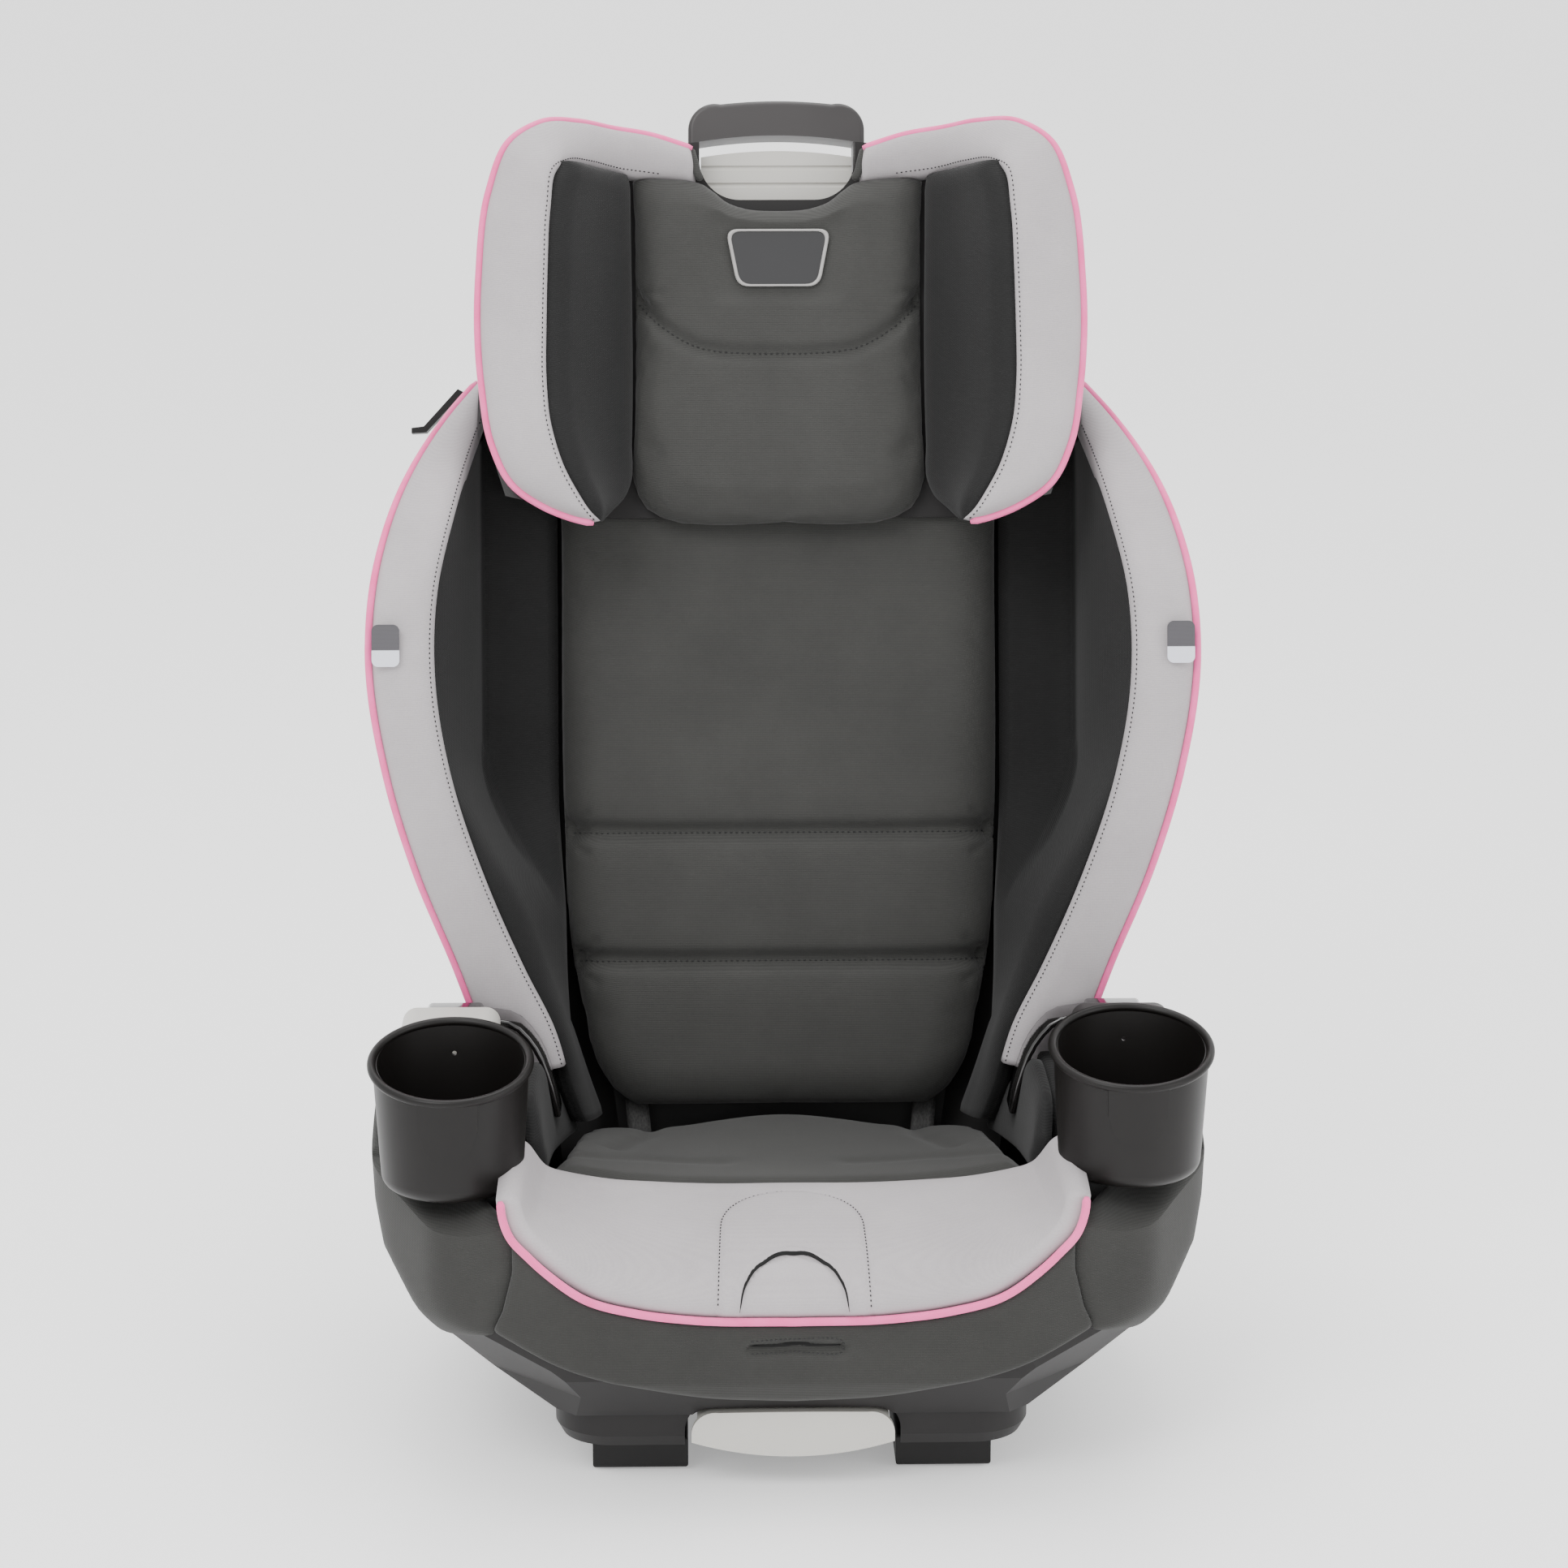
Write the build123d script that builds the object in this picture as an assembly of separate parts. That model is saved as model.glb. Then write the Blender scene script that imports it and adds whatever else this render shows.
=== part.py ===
"""High-back booster seat with a reclining shell, a height-adjustable headrest and two cup holders.

Row frame, in millimetres: +Z up, the seat faces -Y, +X is the left hand of a child sitting in it.
The origin is on the floor, under the centre of the whole seat. The backrest leans back by back_tilt,
so its pieces are drawn upright in a frame of their own, in which a point is (x, -forward, height),
and leaned() puts them in place.
"""

from build123d import *
import math
import os

os.makedirs("parts", exist_ok=True)

# ---------------------------------------------------------------- driving dimensions
wall = 4.0                       # moulded plastic wall
fit_gap = 0.4                    # between neighbours that don't move
back_tilt = 13.0                 # degrees the backrest leans back
centring = 4.3                   # moves everything back, so that the origin is under the middle
back_foot = (0, 83.0, 136.0)     # where the backrest's front face meets the seat

foot_pad_z = 1.6                 # rubber pads under the base
skid_in, skid_out = 62.0, 119.0
skid_front, skid_rear = -196.0, 128.0
skid_top = 22.0
cheek_x = 104.0                  # inner face of the base's side cheeks
cheek_thick = 5.0
rack_thick = 3.0
pivot_y, pivot_z = 110.0, 58.0   # recline pivot
pivot_r = 7.0
tray_half, tray_front, tray_rear = 141.0, -217.0, 146.0
tray_bottom, tray_top = 22.0, 47.0
pan_low, pan_high = 94.0, 98.0   # underside and top of the seat pan

latch_y, latch_z = -120.0, 38.0  # recline latch rod
latch_r = 4.0
rack_screw_y = -80.0
scallop = 2.4                    # depth of the racks' scallops behind the latch rod
spring_web_y = -78.0
recline_step, recline_stops = 4.5, 3

cup_x, cup_y = 200.0, -182.0
cup_left_z, cup_right_z = 177.5, 183.5   # floors of the two cups
cup_r_low, cup_r_high = 41.5, 46.0
cup_wall = 2.6
cup_height = 75.0                # at the axis, where the sloping rim crosses it
cup_rim_slope = 14.0
hook_low, hook_high = 28.0, 54.0

shell_rear = 34.0                # backrest shell's rear face behind the back plane
screw_x, screw_heights = 96.0, (60, 330)
hr_bottom, hr_top = 377.0, 628.0
hr_back = 33.0                   # rear face of the headrest, forward of the back plane
hr_edge = 119.0                  # front edge of the headrest's shell
hr_front = 139.0
rack_pitch, rack_places, rack_below = 16.5, 12, 7    # headrest positions, and how many are lower
lock_h, lock_y, lock_r = 391.0, 14.2, 4.2
rod_x = 27.0

written = {}


# ---------------------------------------------------------------- helpers
back_frame = Plane(origin=back_foot, x_dir=(1, 0, 0),
                   z_dir=(0, math.sin(math.radians(back_tilt)), math.cos(math.radians(back_tilt))))


def leaned(shape):
    """Moves a piece drawn upright in the backrest's frame into the row frame."""
    return back_frame.location * shape


def save(name, *solids):
    """Writes one node. Every argument is one or more closed solids."""
    pieces = [Pos(0, centring, 0) * s for shape in solids for s in shape.solids()]
    shape = pieces[0] if len(pieces) == 1 else Compound(children=pieces)
    export_step(shape, f"parts/{name}.step")
    written[name] = shape


def mirrored(shape):
    return mirror(shape, about=Plane.YZ)


def block(x0, x1, y0, y1, z0, z1):
    """A box between two corners."""
    return Pos((x0 + x1) / 2, (y0 + y1) / 2, (z0 + z1) / 2) * Box(x1 - x0, y1 - y0, z1 - z0)


def soft_block(x0, x1, y0, y1, z0, z1, radius):
    """A box between two corners with all its edges rounded."""
    solid = block(x0, x1, y0, y1, z0, z1)
    return fillet(solid.edges(), radius)


def rod(p, q, radius):
    """A round rod between two points."""
    start, end = Vector(*p), Vector(*q)
    axis = end - start
    return Solid.make_cylinder(radius, axis.length, Plane(origin=start, z_dir=axis.normalized()))


def slab(points, depth, plane=Plane.XZ):
    """A straight-sided outline extruded both ways from a plane."""
    face = make_face(Polyline(*points, close=True))
    return extrude(plane * face, depth / 2, both=True)


def upright(profile, z0, z1):
    """A closed (x, y) polygon extruded from z0 to z1."""
    return Pos(0, 0, z0) * extrude(make_face(Polyline(*profile, close=True)), z1 - z0)


def between(table, value):
    """Reads a short (value, result) table, straight from one entry to the next."""
    for (a, p), (b, q) in zip(table, table[1:]):
        if a <= value <= b:
            t = (value - a) / (b - a)
            return p + (q - p) * t
    return table[0][1] if value < table[0][0] else table[-1][1]


# ---------------------------------------------------------------- outlines that several pieces share
# Half width of the backrest along its height, at the piping, and how far its wings come forward.
back_width = [(-60, 166), (30, 184), (95, 205), (160, 230), (220, 247), (300, 257), (355, 251),
              (405, 235), (445, 213), (475, 190), (505, 158), (530, 112)]
wing_depth = [(-60, 56), (30, 82), (95, 104), (160, 126), (220, 139), (300, 144), (355, 133),
              (405, 104), (445, 64), (475, 36), (505, 14), (530, 2)]
# Half width where the light border meets the dark bolster.
border_inner = [(60, 145), (96, 162), (157, 187), (218, 206), (273, 215), (333, 214), (383, 204),
                (423, 194), (480, 176)]
# The shell narrows to the rear: depth behind the back plane, and share of the half width there.
shell_taper = [(-160, 1.0), (-50, 0.965), (16, 0.85), (34, 0.62)]

# The tub seen from above, from the front and from the side. Right-hand halves where it is symmetrical.
tub_plan = [(130, -250), (206, -214), (250, -132), (252, -20), (214, 66), (182, 138), (140, 150)]
tub_front = [(140, 46), (178, 62), (221, 104), (240, 127), (246, 152), (252, 230), (252, 420)]
tub_side = [(-221, 46), (-243, 76), (-251, 110), (-252, 420), (150, 420), (150, 80), (136, 46)]
# The same seen square to a front corner, out from a point on the middle line, which rounds the corners below.
tub_middle = -100.0
tub_corner = [(176, 46), (182, 62), (203, 84), (222, 104), (238, 127), (248, 152), (254, 200), (254, 420)]
arm_line = [(-270, 108), (-246, 124), (-205, 150), (-140, 160), (-126, 164), (-117, 188), (-100, 203),
            (-4, 203), (60, 186), (110, 160), (170, 132)]
# Top and bottom edges of the dark apron, seen from the front.
apron_top = [(0, 115), (56, 116.5), (89, 121), (117, 129), (136, 141), (150, 152), (163, 162), (176, 170)]
apron_low = [(0, 59), (54, 63), (88, 71), (122, 81), (156, 95), (176, 106)]


def symmetric(half):
    return half + [(-x, y) for x, y in reversed(half)]


def tub_hull(grow):
    """The tub's outer form, open-ended at the top, grown outwards by grow."""
    plan = offset(make_face(FilletPolyline(*symmetric(tub_plan), radius=34, close=True)), grow)
    front = offset(make_face(Polyline(*symmetric(tub_front), close=True)), grow)
    side = offset(make_face(Polyline(*tub_side, close=True)), grow)
    hull = extrude(plan, 450) & extrude(Plane.XZ * front, 300, both=True)
    hull &= extrude(Plane.YZ * side, 300, both=True)
    corner = offset(make_face(Polyline(*tub_corner, (-400, 420), (-400, 46), close=True)), grow)
    for way in (1, -1):
        across = Plane(origin=(0, tub_middle, 0), x_dir=(way, -1, 0), z_dir=(-1, -way, 0))
        hull &= extrude(across * corner, 500, both=True)
    return hull


def under_line(line, low=0.0, plane=Plane.YZ):
    """Everything below an open line and above a level."""
    points = line + [(line[-1][0], low), (line[0][0], low)]
    return slab(points, 700, plane)


def apron_edge(half, lift):
    return [(-x, z + lift) for x, z in reversed(half[1:])] + [(x, z + lift) for x, z in half]


def back_outline(inset, top, depth=0.0, share=1.0):
    """The backrest seen from the front, in a plane behind its own back plane by depth."""
    right = [(x * share + 3 - inset, z) for z, x in back_width if z <= top]
    if right[-1][1] < top:
        right.append((between(back_width, top) * share + 3 - inset, top))
    left = [(-x, z) for x, z in reversed(right)]
    line = [Spline(*right), Line(right[-1], left[0]), Spline(*left), Line(left[-1], right[0])]
    return Plane.XZ.offset(-depth) * make_face(line)


def back_band(outer_inset, inner_face):
    """What lies between the backrest's outline and a face inside it, seen from the front."""
    outer = extrude(back_outline(outer_inset, 470), 320, both=True)
    return outer - extrude(Plane.XZ * inner_face, 320, both=True)


def behind_wings(grow):
    """Everything behind the wings' front edge, moved forward by grow."""
    edge = Spline(*[(-(d + grow), h) for h, d in wing_depth])
    low, high = wing_depth[0], wing_depth[-1]
    rest = Polyline((-(high[1] + grow), high[0]), (90, high[0]), (90, low[0]), (-(low[1] + grow), low[0]))
    return extrude(Plane.YZ * make_face([edge, rest]), 320, both=True)


# ---------------------------------------------------------------- base, which stands on the floor
def base_frame():
    skids = []
    for side in (1, -1):
        x0, x1 = sorted((side * skid_in, side * skid_out))
        skid = block(x0, x1, skid_front, skid_rear, foot_pad_z, skid_top)
        skid = fillet(skid.edges().filter_by(Axis.X) + skid.edges().filter_by(Axis.Y), 3)
        y0, y1 = skid_front + wall, skid_rear - wall
        skid -= block(x0 + wall, x1 - wall, y0, y1, foot_pad_z + wall, skid_top + 1)
        inner = side * cheek_x
        c0, c1 = sorted((inner, inner + side * cheek_thick))
        outline = [(-186, 6), (-186, 18), (-172, 40), (-164, 84), (60, 84),
                   (96, 78), (pivot_y + 12, 72), (skid_rear - 2, 52), (skid_rear - 2, 6)]
        cheek = Pos((c0 + c1) / 2, 0, 0) * slab(outline, cheek_thick, Plane.YZ)
        skids.append(skid + cheek)
    cross = [block(-skid_in - 2, skid_in + 2, y - 10, y + 10, 6, 18) for y in (-60, 60)]
    cross.append(block(-cheek_x - 1, cheek_x + 1, 80, 90, 10, 36))
    frame = skids[0] + skids[1] + cross[0] + cross[1] + cross[2]
    frame -= rod((-130, pivot_y, pivot_z), (130, pivot_y, pivot_z), pivot_r + 0.03)
    for side in (1, -1):
        frame -= rod((side * (cheek_x - 3), rack_screw_y, 58), (side * (cheek_x + 9), rack_screw_y, 58), 2.2)
    return frame


def foot_pads():
    pads = []
    for side in (1, -1):
        for y in (-165, 100):
            centre = side * (skid_in + skid_out) / 2
            pad = block(centre - 20, centre + 20, y - 24, y + 24, 0, foot_pad_z - 0.05)
            pads.append(fillet(pad.edges().filter_by(Axis.Z), 8))
    return pads


def latch_place(step):
    """Where the latch rod lies, seen from the side, when the seat is reclined by some steps."""
    reach = math.hypot(latch_y - pivot_y, latch_z - pivot_z)
    angle = math.atan2(latch_z - pivot_z, latch_y - pivot_y) - math.radians(recline_step * step)
    return pivot_y + reach * math.cos(angle), pivot_z + reach * math.sin(angle)


def recline_racks():
    """Two steel plates on the cheeks, scalloped on an arc about the pivot, just behind the latch rod."""
    tip = math.hypot(latch_y - pivot_y, latch_z - pivot_z) - latch_r - fit_gap
    plates = []
    for side in (1, -1):
        lo, hi = sorted((side * cheek_x, side * (cheek_x - rack_thick)))
        outline = [(pivot_y - tip - 2, 27), (pivot_y - tip - 2, 83), (-64, 83), (-64, 27)]
        plate = Pos((lo + hi) / 2, 0, 0) * slab(outline, rack_thick, Plane.YZ)
        plate &= rod((-200, pivot_y, pivot_z), (200, pivot_y, pivot_z), tip)
        for step in range(recline_stops):
            y, z = latch_place(step)
            plate -= rod((-200, y, z), (200, y, z), latch_r + scallop)
        plate -= rod((-200, rack_screw_y, 58), (200, rack_screw_y, 58), 2.2)
        plates.append(plate)
    return plates


def rack_screws():
    screws = []
    inner = cheek_x - rack_thick
    for side in (1, -1):
        head = rod((side * (inner - 0.1), rack_screw_y, 58), (side * (inner - 2.6), rack_screw_y, 58), 4)
        head -= rod((side * (inner - 2.7), rack_screw_y, 58), (side * (inner - 1.4), rack_screw_y, 58), 1.6)
        shank = rod((side * (inner - 0.2), rack_screw_y, 58), (side * (cheek_x + 4.6), rack_screw_y, 58), 2.1)
        screws.append(head + shank)
    return screws


def pivot_tube():
    tube = rod((-120, pivot_y, pivot_z), (120, pivot_y, pivot_z), pivot_r)
    return tube - rod((-121, pivot_y, pivot_z), (121, pivot_y, pivot_z), pivot_r - 1.5)


def pivot_clips():
    """Retaining rings that keep the pivot tube from sliding out."""
    clips = []
    for side in (1, -1):
        clip = rod((side * 117.6, pivot_y, pivot_z), (side * 119, pivot_y, pivot_z), 10)
        clip -= rod((side * 117, pivot_y, pivot_z), (side * 120, pivot_y, pivot_z), pivot_r)
        clip -= block(*sorted((side * 117, side * 120)), pivot_y - 3, pivot_y + 3, pivot_z - 12, pivot_z)
        clips.append(clip)
    return clips


# ---------------------------------------------------------------- seat tub
def tray(grow, low, high):
    width, length = 2 * (tray_half + grow), tray_rear - tray_front + 2 * grow
    middle = (tray_front + tray_rear) / 2
    return Pos(0, middle, low) * extrude(RectangleRounded(width, length, 34 + grow), high - low)


def seat_shell():
    skirt = tray(0, tray_bottom, tray_top)
    skirt = chamfer(skirt.faces().sort_by(Axis.Z)[0].edges(), 9, 5)
    shell = skirt + (tub_hull(0) & under_line(arm_line))
    inner = tub_hull(-wall)
    shell -= tray(-wall, tray_bottom - 1, tray_top + 6)
    shell -= inner & block(-300, 300, -300, 300, tray_top, pan_low)
    shell -= inner & block(-300, 300, -300, 300, pan_high, 420)
    shell -= Pos(0, -217, 30) * extrude(Plane.XZ * RectangleRounded(2 * 64, 44, 18), 16, both=True)
    for side in (1, -1):
        x0, x1 = sorted((side * 110.5, side * 117))
        lug = block(x0, x1, pivot_y - 16, pivot_y + 16, pivot_z - 14, pan_low + 1)
        lug -= rod((-130, pivot_y, pivot_z), (130, pivot_y, pivot_z), pivot_r + 0.06)
        shell += lug
        shell += block(*sorted((side * 64, side * 67.5)), -196, -90, 52, pan_low + 1)
    # web that holds the fixed ends of the latch's springs, and the slot for the crotch strap
    shell += block(-58, 58, spring_web_y, spring_web_y + wall, 30, pan_low + 1)
    return shell - block(-24, 24, -168, -156, pan_low - 2, pan_high + 2)


# ---------------------------------------------------------------- backrest shell and liner
def back_form(inset, top):
    """The backrest's outer form, or its inside when inset by the wall."""
    faces = []
    for y, share in reversed(shell_taper):
        faces.append(back_outline(inset, top, y - (inset if y > 0 else 0), share))
    return loft(faces, ruled=True)


def back_shell():
    shell = (back_form(0, 530) - back_form(wall, 530 - wall)) & behind_wings(0)
    shell -= back_form(wall, 200) & block(-300, 300, -300, shell_rear - wall, -70, 60)
    # notch in the top edge for the headrest's carrier, room for the shoulder belt guides, and vents
    shell -= block(-64, 64, -20, shell_rear - wall, 500, 540)
    for side in (1, -1):
        shell -= block(*sorted((side * 146, side * 190.5)), -200, -15, 440, 545)
        for height in (150, 185, 220, 255):
            vent = extrude(Plane.XZ * RectangleRounded(56, 12, 5.5), 12, both=True)
            shell -= Pos(side * 40, shell_rear, height) * vent
        for height in screw_heights:
            shell -= rod((side * screw_x, 10, height), (side * screw_x, 50, height), 3.2)
    return leaned(shell) - block(-300, 300, -200, 300, 0, pan_high + fit_gap)


def back_liner():
    """Two foam blocks inside the shell, one each side of the headrest channel."""
    rear = shell_rear - wall - fit_gap
    return [leaned(block(*sorted((side * 64.5, side * 104)), 1, rear, 20, 470)) for side in (1, -1)]


def height_racks():
    """Notched strips on the shell, one each side of the channel that the headrest carrier slides in."""
    strips = []
    for side in (1, -1):
        tips = lock_y + lock_r + fit_gap
        strip = block(*sorted((side * 57.4, side * 63)), tips, shell_rear - wall - 0.2, 255, 520)
        for place in range(rack_places):
            height = lock_h + rack_pitch * (place - rack_below)
            strip -= block(*sorted((side * 57, side * 60)), tips - 1, tips + 3.5, height - 4.5, height + 4.5)
        strips.append(leaned(strip))
    return strips


def shell_screws():
    screws = []
    for side in (1, -1):
        for height in screw_heights:
            x, rear = side * screw_x, shell_rear
            head = rod((x, rear + 2.6, height), (x, rear + 0.1, height), 5.5)
            head -= rod((x, rear + 2.7, height), (x, rear + 1.2, height), 2)
            shank = rod((x, rear + 0.2, height), (x, rear - 4.2, height), 3.0)
            screws.append(leaned(head + shank))
    return screws


# ---------------------------------------------------------------- soft pieces of the back
def sweep_room():
    """The space that the headrest, its wings and its belt guides pass through, in the backrest's frame."""
    room = block(-190.5, 190.5, -200, -31.5, 240, 700)
    for side in (1, -1):
        room += block(*sorted((side * 146, side * 190.5)), -40, -15, 258, 700)
    return room


def shell_inside(height, y):
    """Half width of the shell's inside at one height and depth."""
    return between(back_width, height) * between(shell_taper, y) + 3 - wall


def bolster(side):
    """Foam and dark cover on the inside of one wing."""
    faces = []
    for height in (40, 110, 218, 333, 460):
        front = -between(wing_depth, height) + 2
        inner = between(border_inner, height)
        outline = [(shell_inside(height, front) - 3, front), (inner, front), (min(147, inner - 10), -5),
                   (min(147, inner - 10), -1), (shell_inside(height, 0) - 3, -1)]
        outline = [(side * x, y) for x, y in outline]
        faces.append(Pos(0, 0, height) * make_face(Polyline(*outline, close=True)))
    return leaned(loft(faces, ruled=True) - sweep_room())


def border_face():
    """What lies inside the light border, seen from the front."""
    return make_face(Polyline(*symmetric([(x, z) for z, x in border_inner]), close=True))


def one_side(shape, side, low, high):
    return shape & block(*sorted((side * 60, side * 300)), -300, 100, low, high)


def border(side):
    """Light padded band along the front edge of one backrest wing."""
    band = back_band(5.4, border_face()) & (behind_wings(10) - behind_wings(2.6))
    return leaned(one_side(band, side, 68, 470) - sweep_room())


def back_piping():
    inner = back_outline(4.9, 475)
    band = extrude(back_outline(1.0, 475), 320, both=True) - extrude(inner, 320, both=True)
    band &= behind_wings(5) - behind_wings(1)
    return [leaned(one_side(band, side, 68, 468)) for side in (1, -1)]


def back_pad():
    outline = [(0, 3), (97, 4), (118, 22), (129, 62), (137, 97), (141, 178), (142, 260), (142, 396), (0, 400)]
    outline += [(-x, z) for x, z in reversed(outline[1:-1])]
    return leaned(Pos(0, -15.5, 0) * slab(outline, 28))


def side_labels():
    tags = []
    for side in (1, -1):
        tag = Pos(side * 245, -158.5, 300) * extrude(Plane.XZ * RectangleRounded(17, 26, 4), 0.8, both=True)
        tags.append(leaned(tag))
    return tags


def hip_straps():
    straps = []
    for side in (1, -1):
        outline = [(83, pan_high + fit_gap), (98, pan_high + fit_gap), (101, 150), (86, 150)]
        outline = [(side * x, z) for x, z in outline]
        straps.append(Pos(0, 88, 0) * slab(outline, 1.6))
    return straps


def tether_keeper():
    """Thin spring clip on the upper edge of the shell that stows the loose belt."""
    outline = [(203, 466), (207, 468), (229, 444), (237, 443), (237, 439.5), (227.5, 440), (219, 449)]
    return leaned(Pos(0, -8, 0) * slab([(-x, z) for x, z in outline], 14))


# ---------------------------------------------------------------- soft pieces of the seat
seat_top = [(72, 132), (20, 134), (-40, 146), (-100, 158), (-140, 162), (-190, 158), (-222, 140), (-240, 118)]


def seat_section(y0, y1, drop):
    """Side outline under the seat's top line between two depths."""
    top = [(y, z) for y, z in seat_top if y1 <= y <= y0]
    ends = []
    for y in (y0, y1):
        table = sorted(seat_top)
        ends.append((y, between(table, y)))
    line = [ends[0]] + [p for p in top if p[0] not in (y0, y1)] + [ends[1]]
    floor = [(y1, drop), (y0, drop)]
    return line + floor


def seat_pad():
    pad = slab(seat_section(72, -142, pan_high + fit_gap), 2 * 146, Plane.YZ)
    return fillet(pad.edges().filter_by(Axis.Z), 12)


def seat_front_panel():
    panel = slab(seat_section(-142.4, -245, pan_high + fit_gap), 2 * 150, Plane.YZ)
    return panel & tub_hull(-wall - fit_gap)


def tub_skin():
    """The space that a cover takes up on the outside of the tub."""
    return tub_hull(6.0) - tub_hull(0.5)


def seat_apron():
    """The dark front of the cover, which wraps the tub below the piping."""
    outline = apron_edge(apron_top, 0) + list(reversed(apron_edge(apron_low, 0)))
    return tub_skin() & (Pos(0, -210, 0) * slab(outline, 120))


def seat_piping():
    outline = apron_edge(apron_top, 4.4) + list(reversed(apron_edge(apron_top, 0.3)))
    skin = tub_hull(5.5) - tub_hull(1.0)
    return skin & (Pos(0, -210, 0) * slab(outline, 120))


def armrest_core(side):
    """Foam block inside one arm: low under the cup holder, high behind it."""
    outline = [(-246, pan_high + fit_gap), (-240, 118), (-222, 138), (-200, 152), (-140, 160), (-128, 167),
               (-118, 194),
               (-100, 204), (-12, 204), (-12, pan_high + fit_gap)]
    core = Pos(side * 205, 0, 0) * slab(outline, 2 * 48, Plane.YZ)
    return core & tub_hull(-wall - fit_gap)


def armrest_cover(side):
    """Dark cover over the front of one arm, from the tub's flank over the top."""
    outline = [(-262, 104), (-255, 140), (-205, 168), (-130, 176), (-118, 188), (-60, 192), (-60, 150),
               (-120, 84), (-170, 72), (-215, 84)]
    flank = tub_skin() & slab(outline, 700, Plane.YZ)
    flank &= block(*sorted((side * 178, side * 270)), -270, 0, 50, 200)
    outline = [(-240, 136), (-240, 144), (-205, 166), (-130, 174), (-130, 170), (-200, 160), (-232, 139)]
    top = Pos(side * 208, 0, 0) * slab(outline, 2 * 46, Plane.YZ)
    top -= block(*sorted((side * 150, side * 178)), -262, -221, 50, 220)
    return flank + (top & tub_hull(5.5))


def seat_side(side):
    """Dark inner wall of the cover, between the seat and one arm."""
    outline = [(-130, 158), (-118, 194), (-80, 206), (-44, 206), (-40, 168), (20, 166), (48, 150), (48, 140),
               (-130, 140)]
    return Pos(side * 151.5, 0, 0) * slab(outline, 7, Plane.YZ)


# ---------------------------------------------------------------- hard pieces on the arms
def armrest_cap(side):
    """Cap on one arm, with a slot open at the top that the cup holder's hook drops into."""
    cap = soft_block(side * 206 - 30, side * 206 + 30, -119, -46, 204.4, 247, 9)
    x = side * cup_x
    cap -= block(x - 14, x + 14, -116.6, -108.5, 200, 250)
    return cap - block(x - 9.5, x + 9.5, -125, -116, 200, 250)


def belt_guide(side):
    """Glossy horn over the arm that the lap belt is passed under."""
    points = [(224, 222), (224, 235), (184, 238), (166, 234), (153, 219), (143, 194), (138, 168),
              (146, 168), (149.5, 188), (156, 205), (166, 216), (184, 224)]
    guide = Pos(0, -23, 0) * slab([(side * x, z) for x, z in points], 30)
    return guide + block(*sorted((side * 196, side * 212)), -30, -16, 204.4, 224)


def cup_holder(side, floor_z):
    """Round cup with a rim that slopes down to the front, a raised tongue on its front and a hook behind."""
    top = cup_height + 20

    def cone(grow, low, high):
        slope = (cup_r_high - cup_r_low) / cup_height
        profile = Polyline((0, low), (cup_r_low + grow + slope * low, low),
                           (cup_r_low + grow + slope * high, high), (0, high), close=True)
        return revolve(make_face(Plane.XZ * profile), Axis.Z)

    body = cone(0, 0, top)
    body = fillet(body.edges().sort_by(Axis.Z)[0], 9)
    inner = Pos(0, 0, cup_wall) * cone(-cup_wall, 0, top)
    inner = fillet(inner.edges().sort_by(Axis.Z)[0], 7)
    body -= inner
    tongue = [(-18, cup_height - 6), (18, cup_height - 6), (17, 46), (13, 34), (7, 30), (-7, 30), (-13, 34),
              (-17, 46)]
    plate = extrude(Plane.XZ * make_face(Polyline(*tongue, close=True)), 60)
    plate &= cone(1.8, 4, top) - cone(-0.8, 0, top)
    body += plate
    above = Pos(0, 0, cup_height) * Rot(cup_rim_slope, 0, 0) * Pos(0, 0, 40) * Box(160, 160, 80)
    body -= above
    rim = Pos(0, 0, cup_height) * Rot(cup_rim_slope, 0, 0) * Torus(cup_r_high + 0.4, 2.6)
    body += rim
    body -= rod((0, 30, cup_height - 8), (0, 60, cup_height - 8), 1.4)
    hook = block(-8, 8, cup_r_low - 1, 68, hook_low, hook_high)
    hook += block(-12.5, 12.5, 67, 71.5, hook_low, hook_high - 2)
    hook -= cone(-cup_wall + 0.1, 0, top)
    return Pos(side * cup_x, cup_y, floor_z) * (body + hook)


# ---------------------------------------------------------------- headrest
def headrest_front_outline(inset=0.0):
    """Closed outline of the headrest seen from the front."""
    right = [(120 - inset, hr_bottom + inset), (147 - inset, 388 + inset), (168 - inset, 402),
             (181 - inset, 428), (187 - inset, 470), (188 - inset, 520), (184 - inset, 572),
             (170 - inset, 611), (148 - inset, 626 - inset), (100, hr_top - inset), (52, hr_top - 2 - inset)]
    left = [(-x, z) for x, z in reversed(right)]
    line = [Spline(*right), Line(right[-1], left[0]), Spline(*left), Line(left[-1], right[0])]
    return extrude(Plane.XZ * make_face(line), 400, both=True)


def headrest_shell():
    right = [(0, -hr_back), (150, -hr_back), (164, -hr_back - 12), (182.5, -hr_edge), (178.4, -hr_edge),
             (160.5, -hr_back - 14), (148, -hr_back - wall), (0, -hr_back - wall)]
    half = upright(right, hr_bottom + 6, hr_top - 4)
    shell = half + mirrored(half)
    shell &= headrest_front_outline(2.0)
    scoop = Pos(0, -35, 632) * extrude(Plane.XZ * RectangleRounded(100, 90, 26), 12, both=True)
    return leaned(shell - scoop)


def headrest_pad():
    outline = [(-95, 405), (-90, 388), (-74, 378), (74, 378), (90, 388), (95, 405), (95, 600), (50, 596),
               (30, 586), (-30, 586), (-50, 596), (-95, 600)]
    pad = Pos(0, -hr_back - wall - fit_gap - 10, 0) * slab(outline, 20)
    return leaned(pad)


wing_profile = [(146, -38), (158.5, -48), (173.5, -112), (150, -hr_edge + 0.5), (141, -121), (124, -84),
                (100, -60)]


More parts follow.
